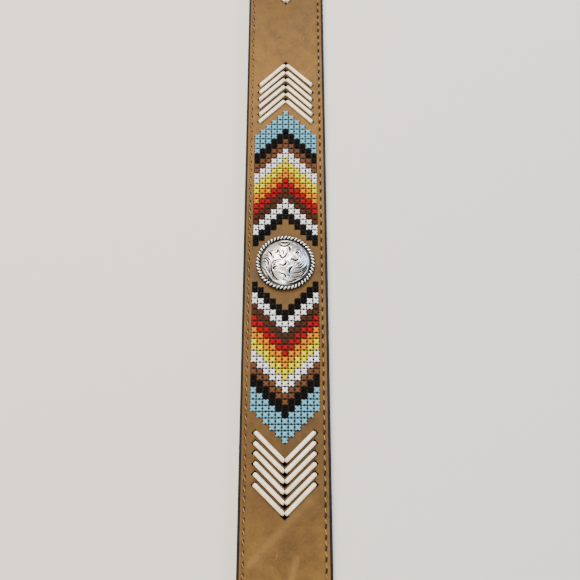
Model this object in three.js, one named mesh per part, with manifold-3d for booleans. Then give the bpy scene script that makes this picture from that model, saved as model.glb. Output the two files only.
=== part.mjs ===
// A western concho belt, undone and laid out flat with its face up.
// Millimetres, +Z up. The strap runs along Y, from the buckle at -Y to the tip at +Y.
// Along the strap, places are measured from the middle concho, and the whole belt is moved at the end
// so that the origin is the middle of its outline, on the surface that it lies on.
import * as THREE from "three";
import { mergeVertices } from "three/addons/utils/BufferGeometryUtils.js";
import Module from "manifold-3d";

const wasm = await Module();
wasm.setup();

// Strap: a tan face leather sewn on a black backing that shows as a thin line along both edges
const strapWidth = 38.1;
const backingThickness = 1.6;
const faceThickness = 2.3;
const backingShows = 0.5;
const edgeBevel = 0.8;
const layerGap = 0.1;

// Decorated panels, one round each concho
const panelCount = 3;
const panelPitch = 258;

// Cross-stitched arrows, two to a panel, with their points away from the concho
const stitchPitch = 2.69;
const stitchColumns = 11;
const stitchRows = 22;
const stitchStart = 22.1;
const threadHeight = 0.8;

// Laced chevrons, two blocks to a panel; the one towards the buckle stands a little further off
const chevronCount = 6;
const chevronPitch = 4.25;
const chevronStart = 87.2;
const buckleBlockShift = 1.7;
const chevronReach = 12.5;
const laceWidth = 2;
const laceThickness = 0.9;
const laceRunWidth = 1.6;
const laceHoleSlack = 0.4;
const sideHoleOpening = 0.7;
const laceClearance = 0.1;
const pocketShare = 0.6;

// Conchos: a domed disc with a roped edge, cast in one with the boss that its screw goes into
const conchoDiameter = 26.5;
const ropeThickness = 1.9;
const ropeLobes = 48;
const ropeGroove = 0.55;
const ropeTwist = 0.55;
const flangeThickness = 1.1;
const domeHeight = 4.3;
const bossDiameter = 5;
const screwDiameter = 2.6;
const screwDepth = 2.4;
const screwHeadDiameter = 9;
const screwClearance = 0.3;
const scrollWidth = 1.5;
const scrollRelief = 0.45;
const scrollTaper = 0.35;

// Tip, with its row of round holes
const tipLength = 26;
const tipBluntness = 0.16;
const beltHoleCount = 5;
const beltHolePitch = 25.4;
const tipToHole = 78;
const holeToPanel = 37;

// Buckle: one cast plate with a bar for the strap and a hook for the holes
const barToPanel = 89.6;
const barDiameter = 4.4;
const barClearance = 0.3;
const foldTailLength = 60;
const foldRise = 22;
const tailJoint = 0.6;
const plateLength = 66;
const plateWidth = 50;
const plateThickness = 2.6;
const plateCorner = 14;
const plateBevel = 0.8;
const plateLap = 12;
const plateClearance = 0.5;
const lugLength = 6;
const lugThickness = 3;
const lugClearance = 0.7;
const hookDiameter = 4;
const hookSlack = 1;
const hookInset = 9;
const hookLift = 0.3;

const roundSides = 12;
const screwSides = 8;
const halfWidth = strapWidth / 2;
const faceHalf = halfWidth - backingShows;
const faceBottom = backingThickness + layerGap;
const faceTop = faceBottom + faceThickness;
const laidOn = faceTop + layerGap;
const beltHole = hookDiameter + hookSlack;

// What is hidden between the layers lies in pockets of the backing
const pocketFloor = backingThickness * (1 - pocketShare);
const hiddenBottom = pocketFloor + layerGap;
const hiddenTop = faceBottom - layerGap;

// A chevron's two arms share a square hole in the middle, and each ends in a slot of its own
const middleHole = laceWidth + 2 * laceHoleSlack;
const sideHoleWidth = laceWidth + laceHoleSlack;
const sideHoleLength = laceThickness + sideHoleOpening;

// Places along the strap
const outerHole = chevronStart + (chevronCount - 1) * chevronPitch;
const lastPanel = ((panelCount - 1) / 2) * panelPitch;
const panelEnd = lastPanel + outerHole;
const firstBeltHole = panelEnd + holeToPanel;
const tipEnd = firstBeltHole + (beltHoleCount - 1) * beltHolePitch + tipToHole;
const barPlace = -(panelEnd + buckleBlockShift + barToPanel);
const plateEnd = barPlace + plateLap - plateLength;
const tailEnd = barPlace + foldTailLength;

// The fold goes round the bar at this radius, and its tail lies on the surface level with the backing
const wrapRadius = barDiameter / 2 + barClearance;
const barHeight = backingThickness + wrapRadius;
const plateBottom = barHeight + wrapRadius + faceThickness + plateClearance;

function solid(geometry) {
  const bare = new THREE.BufferGeometry();
  bare.setAttribute("position", geometry.getAttribute("position"));
  if (geometry.index) bare.setIndex(geometry.index);
  const merged = mergeVertices(bare, 1e-4);
  const triVerts = new Uint32Array(merged.index.array);
  return new wasm.Manifold(
    new wasm.Mesh({ numProp: 3, vertProperties: merged.attributes.position.array, triVerts }),
  );
}

function geometryOf(made) {
  const { vertProperties, triVerts } = made.getMesh();
  const geometry = new THREE.BufferGeometry();
  geometry.setAttribute("position", new THREE.BufferAttribute(vertProperties, 3));
  geometry.setIndex(new THREE.BufferAttribute(triVerts, 1));
  return geometry;
}

function joined(pieces) {
  return pieces.reduce((whole, piece) => whole.add(piece));
}

// A closed solid through rings of points, each ring turning anticlockwise seen from the last ring
function loft(rings) {
  const count = rings[0].length;
  const points = rings.flat();
  const faces = [];
  for (let i = 0; i + 1 < rings.length; i++) {
    for (let j = 0; j < count; j++) {
      const [a, b] = [i * count + j, i * count + ((j + 1) % count)];
      faces.push(a, b, b + count, a, b + count, a + count);
    }
  }
  const last = (rings.length - 1) * count;
  for (let j = 1; j + 1 < count; j++) {
    faces.push(0, j + 1, j);
    faces.push(last, last + j, last + j + 1);
  }
  const geometry = new THREE.BufferGeometry().setFromPoints(points);
  geometry.setIndex(faces);
  return solid(geometry);
}

function block(width, length, bottom, top, x, y, turn = 0) {
  const box = new THREE.BoxGeometry(width, length, top - bottom);
  box.rotateZ(turn);
  box.translate(x, y, (top + bottom) / 2);
  return solid(box);
}

function rod(radius, bottom, top, x, y) {
  const cylinder = new THREE.CylinderGeometry(radius, radius, top - bottom, roundSides);
  cylinder.rotateX(Math.PI / 2);
  cylinder.translate(x, y, (top + bottom) / 2);
  return solid(cylinder);
}

// Share of the half width left at a share of the tip's length, on a quarter ellipse with a blunt end
function tipShare(along) {
  return tipBluntness + (1 - tipBluntness) * Math.sqrt(Math.max(0, 1 - along ** 2));
}

function tipStations() {
  const stations = [];
  const steps = 8;
  for (let i = steps; i >= 0; i--) {
    const along = Math.sin((i / steps) * (Math.PI / 2));
    stations.push({ y: tipEnd - tipLength * (1 - along), share: tipShare(along) });
  }
  return stations;
}

// One ring of strap: flat under, bevelled along both edges of its upper side
function strapRing({ y, z, lean, thickness, half }) {
  const bevel = Math.min(edgeBevel, thickness / 2);
  const outline = [
    [half, 0],
    [half, thickness - bevel],
    [half - bevel, thickness],
    [bevel - half, thickness],
    [-half, thickness - bevel],
    [-half, 0],
  ];
  return outline.map(([x, up]) => new THREE.Vector3(x, y + up * Math.sin(lean), z + up * Math.cos(lean)));
}

// The face leather comes in from the tip, rises over the bar, goes round it and ends as a thinned tail below
function faceStations() {
  const flat = { z: faceBottom, lean: 0, thickness: faceThickness, half: faceHalf };
  const stations = tipStations().map(({ y, share }) => ({
    ...flat,
    y,
    half: halfWidth * share - backingShows,
  }));
  const riseSteps = 6;
  const barTop = barHeight + wrapRadius;
  for (let i = 0; i <= riseSteps; i++) {
    const along = i / riseSteps;
    const climb = barTop - faceBottom;
    const slope = (6 * along * (1 - along) * climb) / foldRise;
    stations.push({
      ...flat,
      y: barPlace + foldRise * (1 - along),
      z: faceBottom + climb * along ** 2 * (3 - 2 * along),
      lean: Math.atan(slope),
    });
  }
  const wrapSteps = 6;
  for (let i = 1; i <= wrapSteps; i++) {
    const wound = (i / wrapSteps) * Math.PI;
    stations.push({
      ...flat,
      y: barPlace - wrapRadius * Math.sin(wound),
      z: barHeight + wrapRadius * Math.cos(wound),
      lean: -wound,
      thickness: faceThickness + (backingThickness - faceThickness) * (i / wrapSteps),
    });
  }
  const tail = { ...flat, y: tailEnd, z: backingThickness, lean: -Math.PI, thickness: backingThickness };
  return [...stations, tail];
}

function backingStations() {
  const flat = { z: 0, lean: 0, thickness: backingThickness, half: halfWidth };
  const stations = tipStations().map(({ y, share }) => ({ ...flat, y, half: halfWidth * share }));
  return [...stations, { ...flat, y: tailEnd + tailJoint }];
}

const panelPlaces = Array.from({ length: panelCount }, (_, i) => i * panelPitch - lastPanel);
const beltHolePlaces = Array.from({ length: beltHoleCount }, (_, i) => firstBeltHole + i * beltHolePitch);

// The laced blocks of a panel: the arrow of each points to +Y or to -Y
const blocks = panelPlaces.flatMap((place) => [1, -1].map((side) => ({ place, side })));

function chevronPlaces({ place, side }) {
  const start = chevronStart + (side < 0 ? buckleBlockShift : 0);
  return Array.from({ length: chevronCount }, (_, k) => place + side * (start + k * chevronPitch));
}

function laceHoles(laced) {
  return chevronPlaces(laced).flatMap((apex) => [
    block(middleHole, middleHole, 0, 2 * faceTop, 0, apex, Math.PI / 4),
    ...[1, -1].map((hand) => {
      const turn = (hand * laced.side * Math.PI) / 4;
      const y = apex - laced.side * chevronReach;
      return block(sideHoleWidth, sideHoleLength, 0, 2 * faceTop, hand * chevronReach, y, turn);
    }),
  ]);
}

function strapFace() {
  const holes = [
    ...blocks.flatMap(laceHoles),
    ...panelPlaces.map((y) => rod(bossDiameter / 2 + screwClearance, 0, 2 * faceTop, 0, y)),
    ...beltHolePlaces.map((y) => rod(beltHole / 2, 0, 2 * faceTop, 0, y)),
  ];
  return loft(faceStations().map(strapRing)).subtract(wasm.Manifold.union(holes));
}

// The lace goes on behind the face in two channels of the backing, at this distance from the middle line
const runPlace = chevronReach - (sideHoleLength / 2 - laceClearance - laceThickness / 2) / Math.SQRT2;

function laceChannels(laced) {
  const apexes = chevronPlaces(laced);
  const middle = (apexes[0] + apexes.at(-1)) / 2 - laced.side * runPlace;
  const width = (laceWidth + laceThickness) / Math.SQRT2 + 2 * laceHoleSlack;
  const length = (chevronCount - 1) * chevronPitch + width;
  const top = 2 * backingThickness;
  return [1, -1].map((hand) => block(width, length, pocketFloor, top, hand * runPlace, middle));
}

function strapBacking() {
  const headPocket = screwHeadDiameter / 2 + screwClearance;
  const cuts = [
    ...blocks.flatMap(laceChannels),
    ...panelPlaces.map((y) => rod(headPocket, pocketFloor, 2 * backingThickness, 0, y)),
    ...beltHolePlaces.map((y) => rod(beltHole / 2, -backingThickness, 2 * backingThickness, 0, y)),
  ];
  return loft(backingStations().map(strapRing)).subtract(wasm.Manifold.union(cuts));
}

// One arm of a chevron: it dips into the middle hole at one end and into the side hole at the other
function laceArm(laced, apex, hand) {
  const span = chevronReach * Math.SQRT2;
  const inner = middleHole / 2 - laceClearance;
  const outer = span - sideHoleLength / 2 + laceClearance;
  const top = laidOn + laceThickness;
  const profile = new THREE.Shape(
    [
      [inner - laceThickness, faceBottom + layerGap],
      [inner, faceBottom + layerGap],
      [inner, laidOn],
      [outer, laidOn],
      [outer, hiddenBottom],
      [outer + laceThickness, hiddenBottom],
      [outer + laceThickness, top],
      [inner - laceThickness, top],
    ].map(([along, up]) => new THREE.Vector2(along, up)),
  );
  const arm = new THREE.ExtrudeGeometry(profile, { depth: laceWidth, bevelEnabled: false });
  arm.translate(0, 0, -laceWidth / 2);
  arm.rotateX(Math.PI / 2);
  arm.rotateZ(Math.atan2(-laced.side, hand));
  arm.translate(0, apex, 0);
  return solid(arm);
}

// Six chevrons in one length of lace, carried over from one to the next on alternate sides
function lacing(laced) {
  const apexes = chevronPlaces(laced);
  const arms = apexes.flatMap((apex) => [1, -1].map((hand) => laceArm(laced, apex, hand)));
  const runs = apexes.slice(1).map((apex, k) => {
    const hand = k % 2 ? 1 : -1;
    const y = apex - laced.side * (chevronPitch / 2 + runPlace);
    return block(laceRunWidth, chevronPitch, hiddenBottom, hiddenTop, hand * runPlace, y);
  });
  return joined([...arms, ...runs]);
}

// The stitched arrow as one slab: each column of stitches lies a row further back than its inner neighbour
function stitchedArrow({ place, side }) {
  const reach = stitchColumns / 2;
  const corners = [
    [0, 0],
    [reach, -reach],
    [reach, stitchRows - reach],
    [0, stitchRows],
    [-reach, stitchRows - reach],
    [-reach, -reach],
  ];
  const outline = corners.map(([column, row]) => {
    return new THREE.Vector2(column * stitchPitch, stitchStart + row * stitchPitch);
  });
  const slab = new THREE.ExtrudeGeometry(new THREE.Shape(outline), { depth: threadHeight, bevelEnabled: false });
  if (side < 0) slab.rotateZ(Math.PI);
  slab.translate(0, place, laidOn);
  return solid(slab);
}

// The dome's height over the flange at a distance from the concho's middle
const domeRadius = conchoDiameter / 2 - ropeThickness;
const domeRise = domeHeight - flangeThickness;
const domeSphere = (domeRadius ** 2 + domeRise ** 2) / (2 * domeRise);
function domeAt(distance) {
  const level = Math.sqrt(domeSphere ** 2 - Math.min(distance, domeRadius) ** 2);
  return laidOn + domeHeight - domeSphere + level;
}

// A closed solid of revolution through rings that may differ in their number of points and in height
function turned(rings) {
  const points = rings.flat();
  const faces = [];
  let start = 0;
  for (let k = 0; k + 1 < rings.length; k++) {
    const [low, high] = [rings[k].length, rings[k + 1].length];
    let [i, j] = [0, 0];
    while ((low > 1 && i < low) || (high > 1 && j < high)) {
      const [a, b] = [start + (i % low), start + low + (j % high)];
      const ahead = (i + 1) * high - (j + 1) * low;
      if (high === 1 || (low > 1 && (ahead < 0 || (ahead === 0 && low <= high)))) {
        i++;
        faces.push(a, start + (i % low), b);
      } else {
        j++;
        faces.push(a, start + low + (j % high), b);
      }
    }
    start += low;
  }
  const geometry = new THREE.BufferGeometry().setFromPoints(points);
  geometry.setIndex(faces);
  return solid(geometry);
}

// A level ring of points, started at an angle counted in lobes of the rope
function ring(count, radius, height, lobes = 0) {
  const start = (lobes * 2 * Math.PI) / ropeLobes;
  return Array.from({ length: count }, (_, i) => {
    const angle = start + (i * 2 * Math.PI) / count;
    return new THREE.Vector3(radius * Math.cos(angle), radius * Math.sin(angle), height);
  });
}

// Raised leaf scrolls on the dome: cubic curves in shares of the dome's radius, +Y up the strap
const scrolls = [
  { from: [-0.28, 0.84], bend: [-0.12, 0.66, 0.1, 0.66], to: [0.26, 0.84], width: 0.8 },
  { from: [-0.24, 0.5], bend: [-0.2, 0.1, 0.1, 0.06], to: [0.16, 0.5], width: 0.9 },
  { from: [-0.2, -0.06], bend: [-0.04, -0.2, 0.2, -0.04], to: [0.06, 0.06], width: 0.7 },
  { from: [-0.3, 0.16], bend: [-0.62, 0.06, -0.64, -0.34], to: [-0.32, -0.6], width: 1 },
  { from: [-0.82, -0.28], bend: [-0.66, -0.72, -0.32, -0.86], to: [-0.02, -0.88], width: 0.9 },
  { from: [0.14, -0.5], bend: [0.5, -0.66, 0.9, -0.34], to: [0.84, 0.24], width: 1 },
  { from: [0.24, -0.24], bend: [0.46, -0.34, 0.66, -0.12], to: [0.56, 0.4], width: 0.9 },
];

function scrollRib({ from, bend, to, width }) {
  const scale = domeRadius;
  const curve = new THREE.CubicBezierCurve(
    new THREE.Vector2(from[0], from[1]).multiplyScalar(scale),
    new THREE.Vector2(bend[0], bend[1]).multiplyScalar(scale),
    new THREE.Vector2(bend[2], bend[3]).multiplyScalar(scale),
    new THREE.Vector2(to[0], to[1]).multiplyScalar(scale),
  );
  const steps = 3;
  const rings = [];
  for (let i = 0; i <= steps; i++) {
    const along = i / steps;
    const at = curve.getPoint(along);
    const across = curve.getTangent(along).rotateAround(new THREE.Vector2(), Math.PI / 2);
    const fullness = scrollTaper + (1 - scrollTaper) * Math.sin(Math.PI * along);
    const half = (scrollWidth * width * fullness) / 2;
    const level = domeAt(at.length());
    const [left, right] = [half, -half].map((reach) => at.clone().addScaledVector(across, reach));
    rings.push([
      new THREE.Vector3(left.x, left.y, level - scrollRelief),
      new THREE.Vector3(at.x, at.y, level + scrollRelief * fullness),
      new THREE.Vector3(right.x, right.y, level - scrollRelief),
    ]);
  }
  return loft(rings);
}

function concho() {
  const bossBottom = faceBottom + layerGap;
  const socketTop = bossBottom + screwDepth;
  const socket = screwDiameter / 2 + screwClearance;
  const rim = conchoDiameter / 2;
  const ropeTop = ring(2 * ropeLobes, rim - ropeThickness / 2, laidOn + ropeThickness);
  ropeTop.forEach((point, i) => (point.z -= i % 2 ? ropeGroove : 0));
  const domeSteps = 3;
  const dome = Array.from({ length: domeSteps }, (_, i) => {
    const distance = domeRadius * (1 - i / domeSteps);
    return ring(2 * roundSides, distance, domeAt(distance));
  });
  const body = turned([
    ring(1, 0, socketTop),
    ring(roundSides, socket, socketTop),
    ring(roundSides, socket, bossBottom),
    ring(roundSides, bossDiameter / 2, bossBottom),
    ring(roundSides, bossDiameter / 2, laidOn),
    ring(2 * roundSides, rim, laidOn),
    ring(ropeLobes, rim, laidOn + ropeThickness / 2, -ropeTwist),
    ropeTop,
    ring(ropeLobes, domeRadius, laidOn + flangeThickness, ropeTwist),
    ...dome.slice(1),
    ring(1, 0, domeAt(0)),
  ]);
  return joined([body, ...scrolls.map(scrollRib)]);
}

function conchoScrew() {
  const top = faceBottom + layerGap + screwDepth - screwClearance;
  return turned([
    ring(1, 0, hiddenBottom),
    ring(screwSides, screwHeadDiameter / 2, hiddenBottom),
    ring(screwSides, screwHeadDiameter / 2, hiddenTop),
    ring(screwSides, screwDiameter / 2, hiddenTop),
    ring(screwSides, screwDiameter / 2, top),
    ring(1, 0, top),
  ]);
}

function roundedPlate(width, length, corner) {
  const [x, y] = [width / 2, length / 2];
  const shape = new THREE.Shape();
  shape.moveTo(x, corner - y);
  shape.lineTo(x, y - corner);
  shape.absarc(x - corner, y - corner, corner, 0, Math.PI / 2);
  shape.absarc(corner - x, y - corner, corner, Math.PI / 2, Math.PI);
  shape.absarc(corner - x, corner - y, corner, Math.PI, 1.5 * Math.PI);
  shape.absarc(x - corner, corner - y, corner, 1.5 * Math.PI, 2 * Math.PI);
  return shape;
}

function buckle() {
  const shape = roundedPlate(plateWidth - 2 * plateBevel, plateLength - 2 * plateBevel, plateCorner - plateBevel);
  const plate = new THREE.ExtrudeGeometry(shape, {
    depth: plateThickness - 2 * plateBevel,
    bevelThickness: plateBevel,
    bevelSize: plateBevel,
    bevelSegments: 1,
    curveSegments: 4,
  });
  plate.translate(0, plateEnd + plateLength / 2, plateBottom + plateBevel);
  const lugPlace = halfWidth + lugClearance + lugThickness / 2;
  const lugs = [1, -1].map((hand) =>
    block(
      lugThickness,
      lugLength,
      barHeight - barDiameter / 2,
      plateBottom + plateBevel,
      hand * lugPlace,
      barPlace,
    ),
  );
  const bar = new THREE.CylinderGeometry(barDiameter / 2, barDiameter / 2, 2 * lugPlace, roundSides);
  bar.rotateZ(Math.PI / 2);
  bar.translate(0, barPlace, barHeight);
  const hookPlace = plateEnd + hookInset;
  const hook = rod(hookDiameter / 2, hookLift, plateBottom + plateBevel, 0, hookPlace);
  return joined([solid(plate), ...lugs, solid(bar), hook]);
}

const finishes = {
  tanLeather: { color: "#a87f4e", roughness: 0.6, metalness: 0 },
  blackBacking: { color: "#17130f", roughness: 0.7, metalness: 0 },
  rawhideLace: { color: "#e9e2d0", roughness: 0.55, metalness: 0 },
  stitchThread: { color: "#7fa9b6", roughness: 0.8, metalness: 0 },
  antiqueSilver: { color: "#c2c1bb", roughness: 0.3, metalness: 1 },
  plainSteel: { color: "#b4b3af", roughness: 0.35, metalness: 1 },
};
const materials = Object.fromEntries(
  Object.entries(finishes).map(([name, look]) => [name, new THREE.MeshStandardMaterial({ name, ...look })]),
);

function piece(name, made, finish, y = 0) {
  const mesh = new THREE.Mesh(geometryOf(made), materials[finish]);
  mesh.name = name;
  mesh.position.y = y;
  return mesh;
}

const belt = new THREE.Group();
belt.add(piece("strap_face", strapFace(), "tanLeather"));
belt.add(piece("strap_backing", strapBacking(), "blackBacking"));
belt.add(piece("buckle", buckle(), "plainSteel"));
panelPlaces.forEach((place, i) => {
  const number = i + 1;
  belt.add(piece(`concho_${number}`, concho(), "antiqueSilver", place));
  belt.add(piece(`concho_screw_${number}`, conchoScrew(), "plainSteel", place));
  [1, -1].forEach((side) => {
    const half = `${number}_${side > 0 ? "tipward" : "buckleward"}`;
    belt.add(piece(`stitched_arrow_${half}`, stitchedArrow({ place, side }), "stitchThread"));
    belt.add(piece(`lacing_${half}`, lacing({ place, side }), "rawhideLace"));
  });
});
belt.position.y = -(tipEnd + plateEnd) / 2;

export default belt;
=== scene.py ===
import math

import bmesh
import bpy
import numpy as np
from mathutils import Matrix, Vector


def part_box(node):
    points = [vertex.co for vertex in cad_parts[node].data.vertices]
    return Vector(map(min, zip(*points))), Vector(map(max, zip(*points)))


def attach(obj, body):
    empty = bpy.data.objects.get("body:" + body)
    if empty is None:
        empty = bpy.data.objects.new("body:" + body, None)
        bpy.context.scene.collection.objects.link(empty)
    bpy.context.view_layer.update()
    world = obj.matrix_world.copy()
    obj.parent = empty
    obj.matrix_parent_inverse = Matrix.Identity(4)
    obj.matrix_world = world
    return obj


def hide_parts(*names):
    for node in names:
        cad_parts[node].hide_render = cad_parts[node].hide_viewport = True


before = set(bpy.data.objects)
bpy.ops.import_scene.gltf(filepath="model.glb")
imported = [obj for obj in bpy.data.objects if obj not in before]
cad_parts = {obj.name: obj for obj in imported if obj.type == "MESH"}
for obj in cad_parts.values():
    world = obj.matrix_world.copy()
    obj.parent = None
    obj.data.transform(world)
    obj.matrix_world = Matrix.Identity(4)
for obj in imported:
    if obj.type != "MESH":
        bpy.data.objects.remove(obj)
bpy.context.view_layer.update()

mm = 0.001
scene = bpy.context.scene
print("frame loaded,", len(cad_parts), "nodes")

# Sizes that the frame gives; the strap runs along Y, buckle at -Y and tip at +Y
halves = {"tipward": 1, "buckleward": -1}
panelY = {n: sum(corner.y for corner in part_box(f"concho_{n}")) / 2 for n in (1, 2, 3)}
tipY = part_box("strap_face")[1].y
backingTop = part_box("strap_backing")[1].z
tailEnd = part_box("strap_backing")[0].y
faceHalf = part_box("strap_face")[1].x
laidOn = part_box("stitched_arrow_2_tipward")[0].z  # what lies on the face starts here
layerGap = 0.1 * mm
faceTop = laidOn - layerGap
faceBottom = backingTop + layerGap


def linear(hexCode):
    # sRGB hex to the linear colour that the shaders take
    shares = [int(hexCode[i:i + 2], 16) / 255 for i in (1, 3, 5)]
    return tuple(s / 12.92 if s <= 0.04045 else ((s + 0.055) / 1.055) ** 2.4 for s in shares) + (1.0,)


def setSockets(tree, node, wires):
    # each socket is wired or given a value; a node stands for its first output
    for key, value in wires.items():
        if isinstance(value, bpy.types.Node):
            value = value.outputs[0]
        if isinstance(value, bpy.types.NodeSocket):
            tree.links.new(value, node.inputs[key])
        else:
            node.inputs[key].default_value = value


def addNode(tree, kind, wires=None, **settings):
    # one node with its settings by name, then its sockets
    node = tree.nodes.new(kind)
    for name, value in settings.items():
        setattr(node, name, value)
    setSockets(tree, node, wires or {})
    return node


def newMaterial(name):
    material = bpy.data.materials.new(name)
    material.use_nodes = True
    tree = material.node_tree
    tree.nodes.clear()
    shader = addNode(tree, "ShaderNodeBsdfPrincipled")
    addNode(tree, "ShaderNodeOutputMaterial", {"Surface": shader})
    return material, tree, shader


def setRamp(ramp, stops, interpolation="LINEAR"):
    ramp.color_ramp.interpolation = interpolation
    elements = ramp.color_ramp.elements
    while len(elements) > 1:
        elements.remove(elements[-1])
    elements[0].position, elements[0].color = stops[0]
    for position, colour in stops[1:]:
        elements.new(position).color = colour
    return ramp


def mottled(name, tones, size, detail, roughness, specular=0.5, relief=0.0):
    # colour that drifts between two tones at two stops, and the same unevenness raised as relief
    material, tree, shader = newMaterial(name)
    place = addNode(tree, "ShaderNodeTexCoord").outputs["Object"]
    noise = addNode(tree, "ShaderNodeTexNoise", {"Vector": place, "Scale": 1 / size, "Detail": detail})
    ramp = addNode(tree, "ShaderNodeValToRGB", {"Fac": noise})
    setRamp(ramp, [(stop, linear(tone)) for stop, tone in tones])
    setSockets(tree, shader, {"Base Color": ramp, "Roughness": roughness, "Specular IOR Level": specular})
    if relief:
        bump = addNode(tree, "ShaderNodeBump", {"Height": noise, "Strength": 0.3, "Distance": relief})
        setSockets(tree, shader, {"Normal": bump})
    return material


# Camera: the photo's view of the middle panel, from the buckle's side
cameraView = {
    "lens": 52.8,  # on a 36 mm sensor
    "tilt": 22.6,  # degrees from straight down, towards the tip
    "height": 347.2 * mm,  # over the strap's face
    "back": 157.3 * mm,  # from the middle concho, towards the buckle
    "aside": 2.1 * mm,
}
cameraData = bpy.data.cameras.new("photoCamera")
cameraData.lens = cameraView["lens"]
cameraData.sensor_width = 36
cameraData.clip_start, cameraData.clip_end = 0.01, 20
camera = bpy.data.objects.new("photoCamera", cameraData)
camera.location = (cameraView["aside"], panelY[2] - cameraView["back"], faceTop + cameraView["height"])
camera.rotation_euler = (math.radians(cameraView["tilt"]), 0, 0)
scene.collection.objects.link(camera)
scene.camera = camera

# Plain studio: a pale floor, a large soft light beyond the tip, a cool window on the right
# and a low fill in front
studio = {
    "floor": "#d9d5cd", "floorDrop": 0.25 * mm, "floorHalf": 3.0,
    "sky": "#e9edf2", "skyStrength": 0.26,
    "lights": {
        "keyLight": {"place": (-0.18, 0.62, 0.95), "size": 0.8, "power": 30.0, "tint": "#fff5e6"},
        "windowLight": {"place": (0.85, 0.3, 0.55), "size": 0.42, "power": 7.5, "tint": "#9cc4ff"},
        "frontFill": {"place": (-0.25, -0.75, 0.8), "size": 0.6, "power": 11.0, "tint": "#fffaf2"},
    },
}


def addLight(name, place, size, power, tint):
    data = bpy.data.lights.new(name, "AREA")
    data.shape, data.size, data.energy = "SQUARE", size, power
    data.color = linear(tint)[:3]
    light = bpy.data.objects.new(name, data)
    target = Vector((0, panelY[2], 0))
    light.location = target + Vector(place)
    light.rotation_euler = (-Vector(place)).to_track_quat("-Z", "Y").to_euler()
    scene.collection.objects.link(light)


def buildStudio():
    half, level = studio["floorHalf"], -studio["floorDrop"]
    mesh = bpy.data.meshes.new("floor")
    corners = [(-half, -half), (half, -half), (half, half), (-half, half)]
    mesh.from_pydata([(x, y, level) for x, y in corners], [], [(0, 1, 2, 3)])
    floor = bpy.data.objects.new("floor", mesh)
    scene.collection.objects.link(floor)
    material, tree, shader = newMaterial("mattPaperSweep")
    place = addNode(tree, "ShaderNodeTexCoord").outputs["Object"]
    noise = addNode(tree, "ShaderNodeTexNoise", {"Vector": place, "Scale": 900.0})
    bump = addNode(tree, "ShaderNodeBump", {"Height": noise, "Strength": 0.05, "Distance": 0.0002})
    setSockets(tree, shader, {"Base Color": linear(studio["floor"]), "Roughness": 0.9, "Normal": bump})
    mesh.materials.append(material)
    for name, light in studio["lights"].items():
        addLight(name, **light)
    world = bpy.data.worlds.new("paleRoom")
    world.use_nodes = True
    background = world.node_tree.nodes["Background"]
    background.inputs["Color"].default_value = linear(studio["sky"])
    background.inputs["Strength"].default_value = studio["skyStrength"]
    scene.world = world


buildStudio()
print("camera and studio set")


def meshFrom(name, points, faces, materials=(), slots=None, smooth=True):
    mesh = bpy.data.meshes.new(name)
    mesh.from_pydata([tuple(p) for p in points], [], faces)
    for material in materials:
        mesh.materials.append(material)
    if slots is not None:
        mesh.polygons.foreach_set("material_index", slots)
    if smooth:
        mesh.shade_smooth()
    mesh.validate()
    return mesh


def addPiece(name, mesh, slot, *nodes):
    # a finished piece rides on the belt's one body and may stand for CAD nodes
    piece = bpy.data.objects.new(name, mesh)
    scene.collection.objects.link(piece)
    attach(piece, "root")
    if nodes:
        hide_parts(*nodes)
    return piece


def joinParts(parts):
    # (points, faces) of several closed shapes as one list of each
    points, faces = [], []
    for partPoints, partFaces in parts:
        start = len(points)
        points.extend(partPoints)
        faces.extend([tuple(start + i for i in face) for face in partFaces])
    return points, faces


def loft(rings):
    # a closed skin through rings of points, each ring turning anticlockwise seen from the last
    count = len(rings[0])
    points = [p for ring in rings for p in ring]
    faces = []
    for i in range(len(rings) - 1):
        for j in range(count):
            a, b = i * count + j, i * count + (j + 1) % count
            faces.append((a, b, b + count, a + count))
    last = (len(rings) - 1) * count
    faces.append(tuple(range(count - 1, -1, -1)))
    faces.append(tuple(range(last, last + count)))
    return points, faces


# Geometry Nodes trees: each has named inputs, a fixed seed, and ends in real, painted mesh
def newTree(name, sockets):
    tree = bpy.data.node_groups.new(name, "GeometryNodeTree")
    tree.interface.new_socket(name="Shape", in_out="INPUT", socket_type="NodeSocketGeometry")
    for label, kind in sockets.items():
        tree.interface.new_socket(name=label, in_out="INPUT", socket_type=kind)
    tree.interface.new_socket(name="Mesh", in_out="OUTPUT", socket_type="NodeSocketGeometry")
    return tree, addNode(tree, "NodeGroupInput").outputs


def endTree(tree, given, instances):
    real = addNode(tree, "GeometryNodeRealizeInstances", {"Geometry": instances})
    painted = addNode(tree, "GeometryNodeSetMaterial", {"Geometry": real, "Material": given["Material"]})
    addNode(tree, "NodeGroupOutput", {"Mesh": painted})


def grow(name, source, tree, values):
    # runs a tree on a mesh or curve and keeps the result as a plain mesh
    holder = bpy.data.objects.new(name + "Source", source)
    scene.collection.objects.link(holder)
    modifier = holder.modifiers.new("grow", "NODES")
    modifier.node_group = tree
    identifiers = {s.name: s.identifier for s in tree.interface.items_tree if s.in_out == "INPUT"}
    for label, value in values.items():
        modifier[identifiers[label]] = value
    evaluated = holder.evaluated_get(bpy.context.evaluated_depsgraph_get())
    mesh = bpy.data.meshes.new_from_object(evaluated)
    mesh.name = name
    bpy.data.objects.remove(holder)
    mesh.shade_smooth()
    return mesh


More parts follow.
